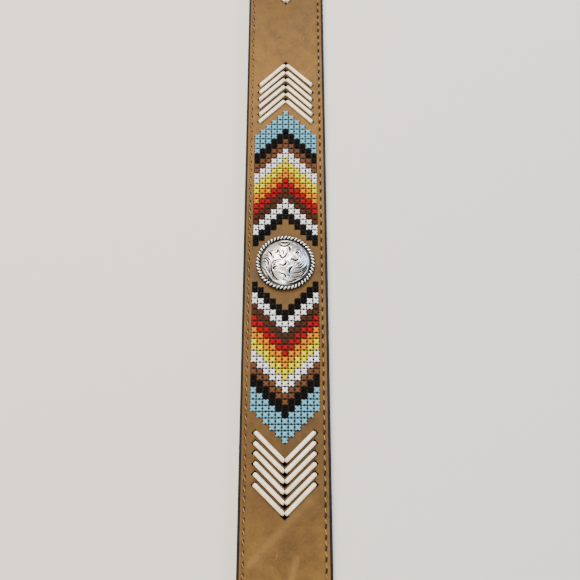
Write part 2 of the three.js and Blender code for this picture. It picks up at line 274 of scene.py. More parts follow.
# Cross-stitched arrows
crossStitch = {
    "pitch": 2.69 * mm, "columns": 11, "rows": 22, "start": 22.1 * mm,
    "strand": 1.27 * mm,
    "reach": 0.84,  # of the way from a cell's middle to its corner
    "lower": 0.48 * mm, "upper": 0.6 * mm, "top": 0.8 * mm,  # both strands' thickness, and the X's height
    "plump": 2.2,  # higher keeps a strand thick nearer to its ends
    "pinch": 0.25,  # share of its girth that a strand keeps at its ends
    "hump": 0.42,  # share of the upper strand's half length that rises over the lower one
    "sunk": 0.05 * mm, "lying": 0.12 * mm,  # where the two strands' crowns lie
    "hole": (0.64 * mm, 0.68 * mm, 0.05 * mm),
    "sides": 8, "tilt": 2.2, "size": 0.05, "seed": 5,
    "shade": 0.92,  # how dark the painted shade makes the face under the stitches
    "shadeIn": 0.06,  # of a pitch, where that shade starts
}
# colours from the concho outwards, each with its number of rows
rowColours = [
    ("#020202", 2), ("#ffffff", 2), ("#4a2a17", 2), ("#a00a14", 2), ("#e48600", 2), ("#ecdf00", 2),
    ("#ffffff", 2), ("#6b452c", 2), ("#020202", 2), ("#74b6cb", 4),
]

# Tan face leather
leather = {
    "thickness": faceTop - faceBottom,
    "tailThickness": backingTop,
    "edgeRound": 0.9 * mm,
    "grooveIn": 2.2 * mm,  # from the face's own edge to the stitch line
    "grooveDepth": 0.34 * mm,
    "grooveWidth": 0.42 * mm,
    "rimPuff": 0.07 * mm,
    "tipLength": 26.0 * mm,
    "tipBlunt": 0.16,
    "barY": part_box("buckle")[1].y - 12.0 * mm,
    "wrapRadius": 2.5 * mm,
    "rise": 22.0 * mm,
    "stitchPitch": 4.2 * mm,
    "holeDip": 0.22 * mm,
    "holeReach": 1.5 * mm,
    # places of the mesh's lines, from the edge inwards
    "edgeMarks": mm * np.array([
        0, 0.08, 0.24, 0.42, 0.7, 1.2, 1.55, 1.8, 2.0, 2.2, 2.4, 2.6, 2.9, 3.4, 4.1]),
    "paintedStrips": 4,  # of those strips, 0.7 mm
    "tuck": 0.25 * mm,  # the wall leans in by this at its foot
    "settle": 0.05 * mm,  # uneven lie of the face
    "tailSlack": 0.6 * mm,
}


def paintedStitchShade(tree, place):
    # painted shade: how far the face below a cross stitch is darkened
    pitch, panelPitch = crossStitch["pitch"], panelY[3] - panelY[2]
    at = addNode(tree, "ShaderNodeSeparateXYZ", {"Vector": place})
    start = panelY[1] - panelPitch / 2
    fromFirst = addNode(tree, "ShaderNodeMath", {0: at.outputs["Y"], 1: start}, operation="SUBTRACT")
    column = at.outputs["X"]
    for operation, amount in (("DIVIDE", pitch), ("ROUND", 0.0), ("ABSOLUTE", 0.0)):
        column = addNode(tree, "ShaderNodeMath", {0: column, 1: amount}, operation=operation)
    row = fromFirst
    for operation, amount in (
            ("MODULO", panelPitch), ("SUBTRACT", panelPitch / 2), ("ABSOLUTE", 0.0),
            ("SUBTRACT", crossStitch["start"]), ("DIVIDE", pitch), ("ADD", column)):
        row = addNode(tree, "ShaderNodeMath", {0: row, 1: amount}, operation=operation)
    mask = crossStitch["shade"]
    for value, test, bound in (
            (row, "GREATER_THAN", crossStitch["shadeIn"]),
            (row, "LESS_THAN", crossStitch["rows"] - crossStitch["shadeIn"]),
            (column, "LESS_THAN", crossStitch["columns"] / 2),
            (fromFirst, "LESS_THAN", 3 * panelPitch), (fromFirst, "GREATER_THAN", 0.0)):
        passed = addNode(tree, "ShaderNodeMath", {0: value, 1: bound}, operation=test)
        mask = addNode(tree, "ShaderNodeMath", {0: passed, 1: mask}, operation="MULTIPLY")
    return mask


leatherTones = {
    "clouds": ("#54390f", "#6a4b1c", "#815e28"), "wornWax": "#7f5c28",
    "scuff": "#8c6734", "scratch": "#b08a4e",
    # darker patches round and below the conchos with painted shade between the laces, a greyer rim that is
    # partly painted sheen, and painted shade under the cross stitches
    "darkPatchAndShade": "#2c1d0b", "rim": "#5f4a35", "shade": "#0a0603",
    # scuffs and scratches: (degrees from the strap's run, width, length, threshold, strength)
    "scuffs": [(40, 2.2 * mm, 24 * mm, 0.6, 0.5), (-12, 5.0 * mm, 30 * mm, 0.6, 0.35)],
    "scratches": [(14, 0.45 * mm, 9 * mm, 0.7, 0.8), (-24, 0.4 * mm, 7 * mm, 0.72, 0.6)],
}


def streaks(tree, place, layers, reach, seed):
    # how far long, narrow marks cover the leather, 0 to 1
    total = 0.0
    for i, (degrees, width, length, threshold, strength) in enumerate(layers):
        turned = addNode(tree, "ShaderNodeVectorRotate", {
            "Vector": place, "Angle": math.radians(degrees)}, rotation_type="Z_AXIS")
        stretched = addNode(tree, "ShaderNodeMapping", {
            "Vector": turned, "Location": (seed + i, 0, 0), "Scale": (1 / width, 1 / length, 60.0)})
        marks = addNode(tree, "ShaderNodeTexNoise", {
            "Vector": stretched, "Scale": 1.0, "Detail": 3.0, "Roughness": 0.6})
        cover = addNode(tree, "ShaderNodeMapRange", {
            "Value": marks, "From Min": threshold, "From Max": threshold + reach, "To Max": strength})
        total = addNode(tree, "ShaderNodeMath", {0: cover, 1: total}, operation="MAXIMUM")
    return total


def waxedCowhide():
    # pull-up leather, tumbled and waxed: clouds where the wax has moved, pale scuffs, fine close grain
    tones = leatherTones
    material, tree, shader = newMaterial("waxedPullUpCowhide")
    place = addNode(tree, "ShaderNodeTexCoord").outputs["Object"]
    clouds, patches, fibres = (
        addNode(tree, "ShaderNodeTexNoise", {
            "Vector": place, "Scale": 1 / size, "Detail": detail, "Roughness": rough})
        for size, detail, rough in ((22 * mm, 5.0, 0.62), (5.5 * mm, 5.0, 0.65), (1.1 * mm, 3.0, 0.7)))
    base = setRamp(addNode(tree, "ShaderNodeValToRGB", {"Fac": clouds}), [
        (stop, linear(tone)) for stop, tone in zip((0.28, 0.5, 0.72), tones["clouds"])])
    waxed = addNode(tree, "ShaderNodeMapRange", {
        "Value": patches, "From Min": 0.35, "From Max": 0.68, "To Max": 0.7})
    uneven = addNode(tree, "ShaderNodeMath", {0: patches, 1: 1.6}, operation="MULTIPLY")
    rubbed = addNode(tree, "ShaderNodeAttribute", attribute_name="rubbed").outputs["Fac"]
    worn = addNode(tree, "ShaderNodeMath", {0: rubbed, 1: uneven}, operation="MULTIPLY")
    scuffs = addNode(tree, "ShaderNodeMath", {
        0: streaks(tree, place, tones["scuffs"], 0.2, 3.0), 1: worn}, operation="MAXIMUM")
    scratches = streaks(tree, place, tones["scratches"], 0.06, 9.0)
    colour = base
    for share, tone in ((waxed, "wornWax"), (scuffs, "scuff"), (scratches, "scratch")):
        colour = addNode(tree, "ShaderNodeMix", {
            0: share, 6: colour, 7: linear(tones[tone])}, data_type="RGBA").outputs[2]
    dust = addNode(tree, "ShaderNodeMapRange", {
        "Value": fibres, "From Min": 0.3, "From Max": 0.7, "To Min": 0.86, "To Max": 1.12})
    colour = addNode(tree, "ShaderNodeVectorMath", {0: colour, "Scale": dust}, operation="SCALE")
    # darker round and below each concho, painted shade between the laces and under the cross stitches, and
    # a rim greyer partly from painted sheen
    darkPatchAndShade = addNode(tree, "ShaderNodeAttribute", attribute_name="handling").outputs["Fac"]
    rim = addNode(tree, "ShaderNodeAttribute", attribute_name="rim").outputs["Fac"]
    for share, tone in ((darkPatchAndShade, "darkPatchAndShade"), (rim, "rim"), (paintedStitchShade(tree, place), "shade")):
        colour = addNode(tree, "ShaderNodeMix", {
            0: share, 6: colour, 7: linear(tones[tone])}, data_type="RGBA").outputs[2]
    grain = addNode(tree, "ShaderNodeTexVoronoi", {
        "Vector": place, "Scale": 1 / (0.9 * mm)}, feature="DISTANCE_TO_EDGE")
    pores = addNode(tree, "ShaderNodeMapRange", {"Value": grain, "From Max": 0.12})
    shallow = addNode(tree, "ShaderNodeMath", {0: pores, 1: 0.35}, operation="MULTIPLY")
    relief = addNode(tree, "ShaderNodeMath", {0: shallow, 1: fibres}, operation="ADD")
    fine = addNode(tree, "ShaderNodeBump", {"Height": relief, "Strength": 0.35, "Distance": 0.12 * mm})
    dents = addNode(tree, "ShaderNodeBump", {
        "Height": patches, "Strength": 0.4, "Distance": 0.5 * mm, "Normal": fine})
    waxy = addNode(tree, "ShaderNodeMapRange", {
        "Value": clouds, "From Min": 0.3, "From Max": 0.7, "To Min": 0.55, "To Max": 0.75})
    setSockets(tree, shader, {
        "Base Color": colour, "Normal": dents, "Roughness": waxy, "Specular IOR Level": 0.22})
    return material


def tipHalf(y, full):
    # half the strap's width on its rounded tip
    along = np.clip((y - (tipY - leather["tipLength"])) / leather["tipLength"], 0, 1)
    return full * (leather["tipBlunt"] + (1 - leather["tipBlunt"]) * np.sqrt(np.maximum(0, 1 - along ** 2)))


def edgeDistance(x, y):
    # how far a place on the face lies in from the face's edge
    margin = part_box("strap_backing")[1].x - faceHalf
    plain = faceHalf - np.abs(x)
    marks = tipY - leather["tipLength"] * (1 - np.sin(np.linspace(0, math.pi / 2, 160)))
    outlineX = np.concatenate([tipHalf(marks, faceHalf + margin) - margin, [0]])
    outlineY = np.concatenate([marks, [tipY]])
    near = y > tipY - 2 * leather["tipLength"]
    away = np.hypot(np.abs(x)[near, None] - outlineX[None], y[near, None] - outlineY[None]).min(1)
    plain[near] = np.minimum(plain[near], away)
    return np.maximum(plain, 0)


lacing = {
    "count": 6, "pitch": 4.25 * mm, "reach": 12.5 * mm,
    "start": {"tipward": 87.2 * mm, "buckleward": 88.9 * mm},
    "width": 1.82 * mm, "thickness": 0.9 * mm, "crown": 0.16 * mm,
    "middleHole": 2.8 * mm, "sideHole": (2.4 * mm, 1.6 * mm), "clearance": 0.1 * mm,
    "bend": 0.65 * mm, "turnJitter": 0.5, "seed": 11,
    "run": {"width": 1.6 * mm, "inset": 0.1768 * mm},  # between the layers, from one chevron to the next
    "hidden": 0.4,  # of the backing's height, where the run lies
}
beltHoles = {
    "count": 5, "pitch": 25.4 * mm, "fromTip": 78.0 * mm, "diameter": 5.0 * mm,
    "bossHole": 5.6 * mm, "sides": 28,
}


def apexes(n, half):
    # the places of a block's six middle holes
    start = lacing["start"][half]
    return [panelY[n] + halves[half] * (start + k * lacing["pitch"]) for k in range(lacing["count"])]


def laceHolePlaces():
    # (x, y, turn) of each hole, the turn 0 for a middle one
    places, reach = [], lacing["reach"]
    for n in panelY:
        for half, side in halves.items():
            for y in apexes(n, half):
                places.append((0.0, y, 0.0))
                places.extend((hand * reach, y - side * reach, hand * side) for hand in (1, -1))
    return places


def leatherStations():
    # (y, z of the under side, lean, thickness, half width) from the tip to the end of the folded tail
    rows = []
    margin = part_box("strap_backing")[1].x - faceHalf
    thick, thin = leather["thickness"], leather["tailThickness"]
    tipStart, barY = tipY - leather["tipLength"], leather["barY"]
    for share in np.sin(np.linspace(math.pi / 2, 0, 46)):
        y = tipStart + leather["tipLength"] * share
        rows.append((y, faceBottom, 0.0, thick, float(tipHalf(y, faceHalf + margin)) - margin))
    flatEnd = barY + leather["rise"]
    count = round((tipStart - flatEnd) / (leather["stitchPitch"] / 4))
    for y in np.linspace(tipStart, flatEnd, count + 1)[1:]:
        rows.append((y, faceBottom, 0.0, thick, faceHalf))
    barZ = backingTop + leather["wrapRadius"]
    climb = barZ + leather["wrapRadius"] - faceBottom
    for along in np.linspace(0, 1, 25)[1:]:
        slope = 6 * along * (1 - along) * climb / leather["rise"]
        z = faceBottom + climb * along ** 2 * (3 - 2 * along)
        rows.append((flatEnd - leather["rise"] * along, z, math.atan(slope), thick, faceHalf))
    for along in np.linspace(0, 1, 17)[1:]:
        turned = along * math.pi
        y = barY - leather["wrapRadius"] * math.sin(turned)
        z = barZ + leather["wrapRadius"] * math.cos(turned)
        rows.append((y, z, -turned, thick + (thin - thick) * along, faceHalf))
    for y in np.linspace(barY, tailEnd - leather["tailSlack"], 48)[1:]:
        rows.append((y, backingTop, -math.pi, thin, faceHalf))
    return rows


def buildLeather():
    *outer, innermost = faceHalf - leather["edgeMarks"]
    inner = np.linspace(innermost, -innermost, 25)
    across = np.concatenate([outer, inner, -np.array(outer)[::-1]])
    wall = [0.0, 0.12, 0.45]  # shares of the thickness, up to where the edge starts to round
    under = np.linspace(-0.94, 0.94, 7)
    rows = leatherStations()
    tops = np.array([[x * row[4] / faceHalf for x in across] for row in rows])
    rowY = np.repeat(np.array([row[0] for row in rows])[:, None], len(across), 1)
    flat = np.array([abs(row[2]) < 1e-6 for row in rows])
    distance = np.maximum(faceHalf - np.abs(tops), 0)
    distance[flat] = edgeDistance(tops[flat].ravel(), rowY[flat].ravel()).reshape(-1, len(across))
    bevel = leather["edgeRound"]
    lowered = bevel - np.sqrt(np.maximum(0, bevel ** 2 - np.maximum(0, bevel - distance) ** 2))
    run = np.cumsum([0] + [math.dist(a[:2], b[:2]) for a, b in zip(rows, rows[1:])])
    pucker = 0.8 + 0.2 * np.cos(2 * math.pi * run / leather["stitchPitch"])[:, None]
    line = leather["grooveIn"]
    groove = leather["grooveDepth"] * np.exp(-((distance - line) / leather["grooveWidth"]) ** 2)
    puff = leather["rimPuff"] * np.exp(-((distance - 0.5 * line) / (0.6 * mm)) ** 2)
    puff += leather["rimPuff"] * np.exp(-((distance - 1.7 * line) / (0.9 * mm)) ** 2)
    short = np.sin(rowY / (9 * mm) + tops / (5 * mm))
    long = np.sin(rowY / (23 * mm) - tops / (8 * mm))
    settle = leather["settle"] * (short + long) * np.clip(distance / (3 * mm), 0, 1)
    sunk = lowered + groove * pucker - puff + settle
    for x, y, _ in laceHolePlaces():
        close = np.abs(rowY[:, 0] - y) < 4 * leather["holeReach"]
        away = np.hypot(tops[close] - x, rowY[close] - y)
        sunk[close] += leather["holeDip"] * np.exp(-(away / leather["holeReach"]) ** 2)
    rings = []
    for row, topX, down in zip(rows, tops, sunk):
        y, z, lean, thickness, half = row
        tuck = min(leather["tuck"], half / 4)
        wallUp = [(half - tuck * (1 - s / wall[-1]) ** 2, s * thickness) for s in wall]
        top = list(zip(topX, thickness - down * min(1, thickness / leather["thickness"])))
        wallDown = [(-x, up) for x, up in reversed(wallUp)]
        floor = [(share * (half - tuck), 0.0) for share in under]
        section = wallUp + top + wallDown + floor
        rings.append([(x, y + up * math.sin(lean), z + up * math.cos(lean)) for x, up in section])
    points, faces = loft(rings)
    count = len(rings[0])
    strips = leather["paintedStrips"]
    first, last = len(wall) + strips, len(wall) + len(across) - strips - 1
    painted = set(range(first)) | set(range(last, 2 * len(wall) + len(across)))
    slots = [1 if i % count in painted else 0 for i in range(len(faces) - 2)] + [1, 1]
    # acrylic edge paint, black, rolled on: smooth, dull, slightly uneven
    edgePaint = mottled(
        "blackEdgePaint", [(0.35, "#040303"), (0.7, "#0c0907")], 1.6 * mm, 3.0, 0.6, 0.18, relief=0.2 * mm)
    # the raw, darkened wall of a punched hole
    cutLeather = mottled("punchedHoleWall", [(0.3, "#22150b"), (0.7, "#4a3018")], 0.4 * mm, 2.0, 0.9)
    materials = [waxedCowhide(), edgePaint, cutLeather]
    blank = meshFrom("strapBlank", points, faces, materials, slots)
    mesh = punched(blank, cutLeather)
    paintPatchesAndShade(mesh)
    mesh.set_sharp_from_angle(angle=math.radians(38))
    addPiece("strap_leather", mesh, "face_leather", "strap_face")


def prism(outline, bottom, top):
    # outline anticlockwise from above
    rings = [[(x, y, z) for x, y in outline] for z in (bottom, top)]
    return loft(rings)


def roundHole(y, diameter, bottom, top):
    angles = np.linspace(0, 2 * math.pi, beltHoles["sides"], endpoint=False)
    outline = [(diameter / 2 * math.cos(a), y + diameter / 2 * math.sin(a)) for a in angles]
    return prism(outline, bottom, top)


def punched(blank, wallMaterial):
    # real holes through the face for the lace, the concho bosses and the hook
    parts = []
    bottom, top = faceBottom - 0.2 * mm, faceTop + 1 * mm
    half = lacing["middleHole"] / 2
    for x, y, turn in laceHolePlaces():
        if turn:
            wide, long = (size / 2 for size in lacing["sideHole"])
        else:
            wide = long = half
        angle = (turn or 1) * math.pi / 4
        corners = [(-wide, -long), (wide, -long), (wide, long), (-wide, long)]
        parts.append(prism([
            (x + a * math.cos(angle) - b * math.sin(angle), y + a * math.sin(angle) + b * math.cos(angle))
            for a, b in corners], bottom, top))
    for i in range(beltHoles["count"]):
        y = tipY - beltHoles["fromTip"] - i * beltHoles["pitch"]
        parts.append(roundHole(y, beltHoles["diameter"], bottom, top))
    for y in panelY.values():
        parts.append(roundHole(y, beltHoles["bossHole"], bottom, top))
    points, faces = joinParts(parts)
    punch = bpy.data.objects.new("punch", meshFrom("punch", points, faces, [wallMaterial], smooth=False))
    scene.collection.objects.link(punch)
    holder = bpy.data.objects.new("strapBlank", blank)
    scene.collection.objects.link(holder)
    cut = holder.modifiers.new("cut", "BOOLEAN")
    cut.operation = "DIFFERENCE"
    cut.solver = "MANIFOLD"
    cut.material_mode = "TRANSFER"
    cut.object = punch
    evaluated = holder.evaluated_get(bpy.context.evaluated_depsgraph_get())
    mesh = bpy.data.meshes.new_from_object(evaluated)
    mesh.name = "strap_leather"
    print("leather punched:", len(blank.polygons), "faces to", len(mesh.polygons))
    bpy.data.objects.remove(holder)
    bpy.data.objects.remove(punch)
    return mesh


handling = {
    "reach": 34 * mm, "depth": 0.66,  # darker round each concho
    # darker in a band towards the buckle from each concho
    "low": 0.66, "lowFrom": -85 * mm, "lowReach": 52 * mm,
    # the rolled rim greyer: partly burnish, partly painted sheen
    "rimWidth": 1.5 * mm, "rimDepth": 0.25,
    "laced": 0.75, "lacedSlack": 0.2 * mm,  # painted shade between the laces
    # pale rubbed bands, from the middle concho's centre: (start, end, half width)
    "rubs": [
        ((10 * mm, -104 * mm), (-14 * mm, -129 * mm), 1.5 * mm),
        ((5 * mm, -126 * mm), (1 * mm, -140 * mm), 1.2 * mm)],
}


def paintPatchesAndShade(mesh):
    # attributes for the leather: where it is darker round and below each concho, with painted shade between
    # the laces; its rolled rim, greyer partly from painted sheen; where it is rubbed pale
    count = len(mesh.vertices)
    co = np.zeros(count * 3)
    mesh.vertices.foreach_get("co", co)
    co = co.reshape(-1, 3)
    x, y = co[:, 0], co[:, 1]
    dark = np.zeros(count)
    for place in panelY.values():
        away = (y - place) / handling["reach"]
        dark = np.maximum(dark, handling["depth"] * np.exp(-away ** 2))
        below = (y - place - handling["lowFrom"]) / handling["lowReach"]
        dark = np.maximum(dark, handling["low"] * np.exp(-below ** 2))
    dark *= 1 - 0.25 * np.abs(x) / faceHalf
    # painted shade between the laces of each block
    for n in panelY:
        for half, side in halves.items():
            ends = apexes(n, half)
            along = side * (y - ends[0]) + np.abs(x)
            slack = handling["lacedSlack"]
            length = side * (ends[-1] - ends[0])
            laced = (along > -slack) & (along < length + slack) & (np.abs(x) < lacing["reach"])
            dark[laced] = np.maximum(dark[laced], handling["laced"])
    # the rolled rim greyer: partly burnish, partly painted sheen where it catches the light
    rim = handling["rimDepth"] * np.exp(-(edgeDistance(x, y) / handling["rimWidth"]) ** 2)
    rubbed = np.zeros(count)
    for start, end, reach in handling["rubs"]:
        run = np.subtract(end, start)
        share = np.clip(((x - start[0]) * run[0] + (y - panelY[2] - start[1]) * run[1]) / (run @ run), 0, 1)
        away = np.hypot(x - start[0] - share * run[0], y - panelY[2] - start[1] - share * run[1])
        rubbed = np.maximum(rubbed, np.exp(-(away / reach) ** 2))
    for name, values in (("handling", dark), ("rim", rim), ("rubbed", rubbed)):
        mesh.attributes.new(name, "FLOAT", "POINT").data.foreach_set("value", values)


buildLeather()
print("leather built")


def swappedMaterial(node, material):
    # a CAD node whose shape stays gets its finish through its material slot
    for i in range(len(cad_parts[node].material_slots)):
        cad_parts[node].material_slots[i].material = material


def blackSplit():
    # black finished split leather of the backing: closed surface, faint drum-dyed unevenness
    material, tree, shader = newMaterial("blackSplitLeather")
    place = addNode(tree, "ShaderNodeTexCoord").outputs["Object"]
    clouds = addNode(tree, "ShaderNodeTexNoise", {"Vector": place, "Scale": 1 / (6 * mm), "Detail": 4.0})
    tone = setRamp(addNode(tree, "ShaderNodeValToRGB", {"Fac": clouds}), [
        (0.3, linear("#080706")), (0.7, linear("#14110f"))])
    grain = addNode(tree, "ShaderNodeTexVoronoi", {"Vector": place, "Scale": 1 / (1.1 * mm)})
    bump = addNode(tree, "ShaderNodeBump", {"Height": grain, "Strength": 0.4, "Distance": 0.2 * mm})
    setSockets(tree, shader, {
        "Base Color": tone, "Normal": bump, "Roughness": 0.66, "Specular IOR Level": 0.2})
    return material


swappedMaterial("strap_backing", blackSplit())


# Waxed thread: one look for all colours, the colour from each stitch's row
def threadMaterial(name, stops, ply):
    # bonded nylon thread, lightly waxed: sheen on the crowns, fine slanted plies
    material, tree, shader = newMaterial(name)
    row = addNode(tree, "ShaderNodeAttribute", attribute_name="threadRow")
    colour = addNode(tree, "ShaderNodeValToRGB", {"Fac": row.outputs["Fac"]})
    setRamp(colour, stops, "CONSTANT")
    place = addNode(tree, "ShaderNodeTexCoord")
    fuzz = addNode(tree, "ShaderNodeTexNoise", {
        "Vector": place.outputs["Object"], "Scale": 1 / (0.5 * mm), "Detail": 3.0, "Roughness": 0.6})
    lighter = addNode(tree, "ShaderNodeMapRange", {
        "Value": fuzz, "From Min": 0.25, "From Max": 0.75, "To Min": 0.8, "To Max": 1.16})
    toned = addNode(tree, "ShaderNodeVectorMath", {0: colour, "Scale": lighter}, operation="SCALE")
    plies = addNode(tree, "ShaderNodeMapping", {
        "Vector": place.outputs["UV"], "Rotation": (0, 0, math.radians(35))})
    wave = addNode(tree, "ShaderNodeTexWave", {
        "Vector": plies, "Scale": ply, "Distortion": 0.6, "Detail": 1.0}, bands_direction="X")
    bump = addNode(tree, "ShaderNodeBump", {
        "Height": wave.outputs["Fac"], "Strength": 0.8, "Distance": 0.2 * mm})
    setSockets(tree, shader, {
        "Base Color": toned, "Normal": bump, "Roughness": 0.4, "Specular IOR Level": 0.12})
    return material


# painted shade for the dark mouth of a needle hole or an awl slit
holeShade = mottled("needleHoleShade", [(0.3, "#180b04"), (0.7, "#2f190b")], 0.3 * mm, 2.0, 0.95)


def strand(path, widths, heights, sides, lean=(1, 0)):
    # a closed strand along a path of (along, z), in the upright plane that lean points along
    rings = []
    for (along, z), width, height in zip(path, widths, heights):
        ring = []
        for k in range(sides):
            angle = -2 * math.pi * k / sides
            across, up = width / 2 * math.cos(angle), height / 2 * math.sin(angle)
            ring.append((along * lean[0] - across * lean[1], along * lean[1] + across * lean[0], z + up))
        rings.append(ring)
    return loft(rings)


def unwrap(mesh, sides):
    # U along a strand, V round it, for the ply bump
    layer = mesh.uv_layers.new(name="strand")
    for polygon in mesh.polygons:
        rows = [mesh.loops[i].vertex_index for i in polygon.loop_indices]
        for i, vertex in zip(polygon.loop_indices, rows):
            layer.data[i].uv = ((vertex // sides) * 0.2, (vertex % sides) / sides)


def crossStitchMesh():
    # one X of thick thread filling its cell, the second strand over the first
    pitch, sides = crossStitch["pitch"], crossStitch["sides"]
    reach = crossStitch["reach"] * pitch * math.sqrt(0.5)
    marks = np.array([-0.98, -0.87, -0.62, -0.21, 0.21, 0.62, 0.87, 0.98])
    swell = np.sqrt(np.maximum(0.03, 1 - np.abs(marks) ** crossStitch["plump"]))
    girth = crossStitch["pinch"] + (1 - crossStitch["pinch"]) * swell
    widths = crossStitch["strand"] * girth
    parts = []
    for lean, height, rise in (((1, 1), crossStitch["lower"], 0.0), ((1, -1), crossStitch["upper"], 1.0)):
        lean = (lean[0] * math.sqrt(0.5), lean[1] * math.sqrt(0.5))
        over = np.exp(-(marks / crossStitch["hump"]) ** 2) * rise
        heights = height * girth
        top = (crossStitch["top"] - crossStitch["sunk"]) * over
        top += (crossStitch["lower"] + crossStitch["lying"]) * (1 - over) * swell
        top = np.maximum(top, heights + 0.02 * mm)
        path = [(m * reach, t - h / 2) for m, t, h in zip(marks, top, heights)]
        parts.append(strand(path, widths, heights, sides, lean))
    points, faces = joinParts(parts)
    mesh = meshFrom("crossStitch", points, faces)
    unwrap(mesh, sides)
    return mesh


def gridPoints(tree, given, offset=0.0):
    # a grid of points, each column lying further back with its distance from the middle one
    columns, pitch = given["Columns"], given["Pitch"]
    index = addNode(tree, "GeometryNodeInputIndex")
    total = addNode(tree, "ShaderNodeMath", {0: columns, 1: given["Rows"]}, operation="MULTIPLY")
    row = index  # the quarter keeps the floor clear of rounding
    for operation, amount in (("ADD", 0.25), ("DIVIDE", columns), ("FLOOR", 0.0)):
        row = addNode(tree, "ShaderNodeMath", {0: row, 1: amount}, operation=operation)
    middle = columns
    for operation, amount in (("SUBTRACT", 1.0), ("DIVIDE", 2.0)):
        middle = addNode(tree, "ShaderNodeMath", {0: middle, 1: amount}, operation=operation)
    column = addNode(tree, "ShaderNodeMath", {0: index, 1: columns}, operation="MODULO")
    aside = addNode(tree, "ShaderNodeMath", {0: column, 1: middle}, operation="SUBTRACT")
    x = addNode(tree, "ShaderNodeMath", {0: aside, 1: pitch}, operation="MULTIPLY")
    away = addNode(tree, "ShaderNodeMath", {0: aside}, operation="ABSOLUTE")
    y = row
    for operation, amount in (
            ("ADD", offset), ("SUBTRACT", away), ("MULTIPLY", pitch), ("ADD", given["Start"]),
            ("MULTIPLY", given["Side"]), ("ADD", given["Middle"])):
        y = addNode(tree, "ShaderNodeMath", {0: y, 1: amount}, operation=operation)
    place = addNode(tree, "ShaderNodeCombineXYZ", {"X": x, "Y": y, "Z": given["Level"]})
    return addNode(tree, "GeometryNodePoints", {"Count": total, "Position": place}), row


def jitterRotation(tree, given, angle=0.0):
    # a small seeded turn about Z on top of a given angle
    back = addNode(tree, "ShaderNodeMath", {0: given["Turn"], 1: -1.0}, operation="MULTIPLY")
    turn = addNode(tree, "FunctionNodeRandomValue", {
        2: back, 3: given["Turn"], "Seed": given["Seed"]}, data_type="FLOAT")
    full = addNode(tree, "ShaderNodeMath", {0: turn.outputs[1], 1: angle}, operation="ADD")
    euler = addNode(tree, "ShaderNodeCombineXYZ", {"Z": full})
    return addNode(tree, "FunctionNodeEulerToRotation", {"Euler": euler})


gridSockets = {
    "Columns": "NodeSocketInt", "Rows": "NodeSocketInt", "Pitch": "NodeSocketFloat",
    "Start": "NodeSocketFloat", "Middle": "NodeSocketFloat", "Side": "NodeSocketFloat",
    "Level": "NodeSocketFloat", "Turn": "NodeSocketFloat", "Seed": "NodeSocketInt",
    "Material": "NodeSocketMaterial",
}


def crossStitchTree():
    tree, given = newTree("crossStitchGrid", gridSockets)
    points, row = gridPoints(tree, given, 0.5)
    middle = addNode(tree, "ShaderNodeMath", {0: row, 1: 0.5}, operation="ADD")
    share = addNode(tree, "ShaderNodeMath", {0: middle, 1: given["Rows"]}, operation="DIVIDE")
    marked = addNode(tree, "GeometryNodeStoreNamedAttribute", {
        "Geometry": points, "Name": "threadRow", "Value": share}, data_type="FLOAT", domain="POINT")
    smallest = 1 - crossStitch["size"]
    size = addNode(tree, "FunctionNodeRandomValue", {
        "Min": (smallest, smallest, smallest), "Max": (1, 1, 1), "Seed": given["Seed"]},
        data_type="FLOAT_VECTOR")
    stitches = addNode(tree, "GeometryNodeInstanceOnPoints", {
        "Points": marked, "Instance": given["Shape"], "Rotation": jitterRotation(tree, given),
        "Scale": size})
    endTree(tree, given, stitches)
    return tree


def needleHoleTree():
    tree, given = newTree("needleHoleGrid", gridSockets)
    points, _ = gridPoints(tree, given)
    holes = addNode(tree, "GeometryNodeInstanceOnPoints", {
        "Points": points, "Instance": given["Shape"], "Rotation": jitterRotation(tree, given)})
    endTree(tree, given, holes)
    return tree


def lens(width, length, height, sides=8):
    # a low closed pebble that carries the painted shade of a needle hole's mouth
    ring = [2 * math.pi * k / sides for k in range(sides)]
    points = [(width / 2 * math.cos(a), length / 2 * math.sin(a), 0) for a in ring]
    points += [(0, 0, -height), (0, 0, height)]
    faces = [(k, (k + 1) % sides, sides + 1) for k in range(sides)]
    faces += [((k + 1) % sides, k, sides) for k in range(sides)]
    return points, faces


def mergeMeshes(name, meshes):
    whole = bmesh.new()
    for mesh in meshes:
        whole.from_mesh(mesh)
    merged = bpy.data.meshes.new(name)
    for material in meshes[0].materials:
        merged.materials.append(material)
    whole.to_mesh(merged)
    whole.free()
    return merged


def buildCrossStitches():
    stops, row = [], 0
    for colour, rows in rowColours:
        stops.append((row / crossStitch["rows"], linear(colour)))
        row += rows
    thread = threadMaterial("waxedNylonThread", stops, 3.1)
    stitchTree, holeTree = crossStitchTree(), needleHoleTree()
    stitch = crossStitchMesh()
    hole = meshFrom("needleHole", *lens(*crossStitch["hole"], sides=6))
    holes = []
    for n in panelY:
        for half, side in halves.items():
            values = {
                "Columns": crossStitch["columns"], "Rows": crossStitch["rows"],
                "Pitch": crossStitch["pitch"], "Start": crossStitch["start"], "Middle": panelY[n],
                "Side": float(side), "Level": laidOn, "Turn": math.radians(crossStitch["tilt"]),
                "Seed": crossStitch["seed"] + n, "Material": thread}
            mesh = grow(f"cross_stitch_{n}_{half}", stitch, stitchTree, values)
            addPiece(f"cross_stitch_{n}_{half}", mesh, "stitch_thread", f"stitched_arrow_{n}_{half}")
            # dark pebbles of painted shade on a half-pitch grid: the holes at the cells' corners and the
            # gaps between the strands at their mid-edges
            values.update({
                "Columns": 2 * crossStitch["columns"] + 1, "Rows": 2 * crossStitch["rows"] + 1,
                "Pitch": crossStitch["pitch"] / 2,
                "Level": faceTop + 0.03 * mm, "Material": holeShade})
            holes.append(grow("holes", hole, holeTree, values))
    addPiece("needle_holes", mergeMeshes("needle_holes", holes), "face_leather")


buildCrossStitches()
print("cross stitches sewn")


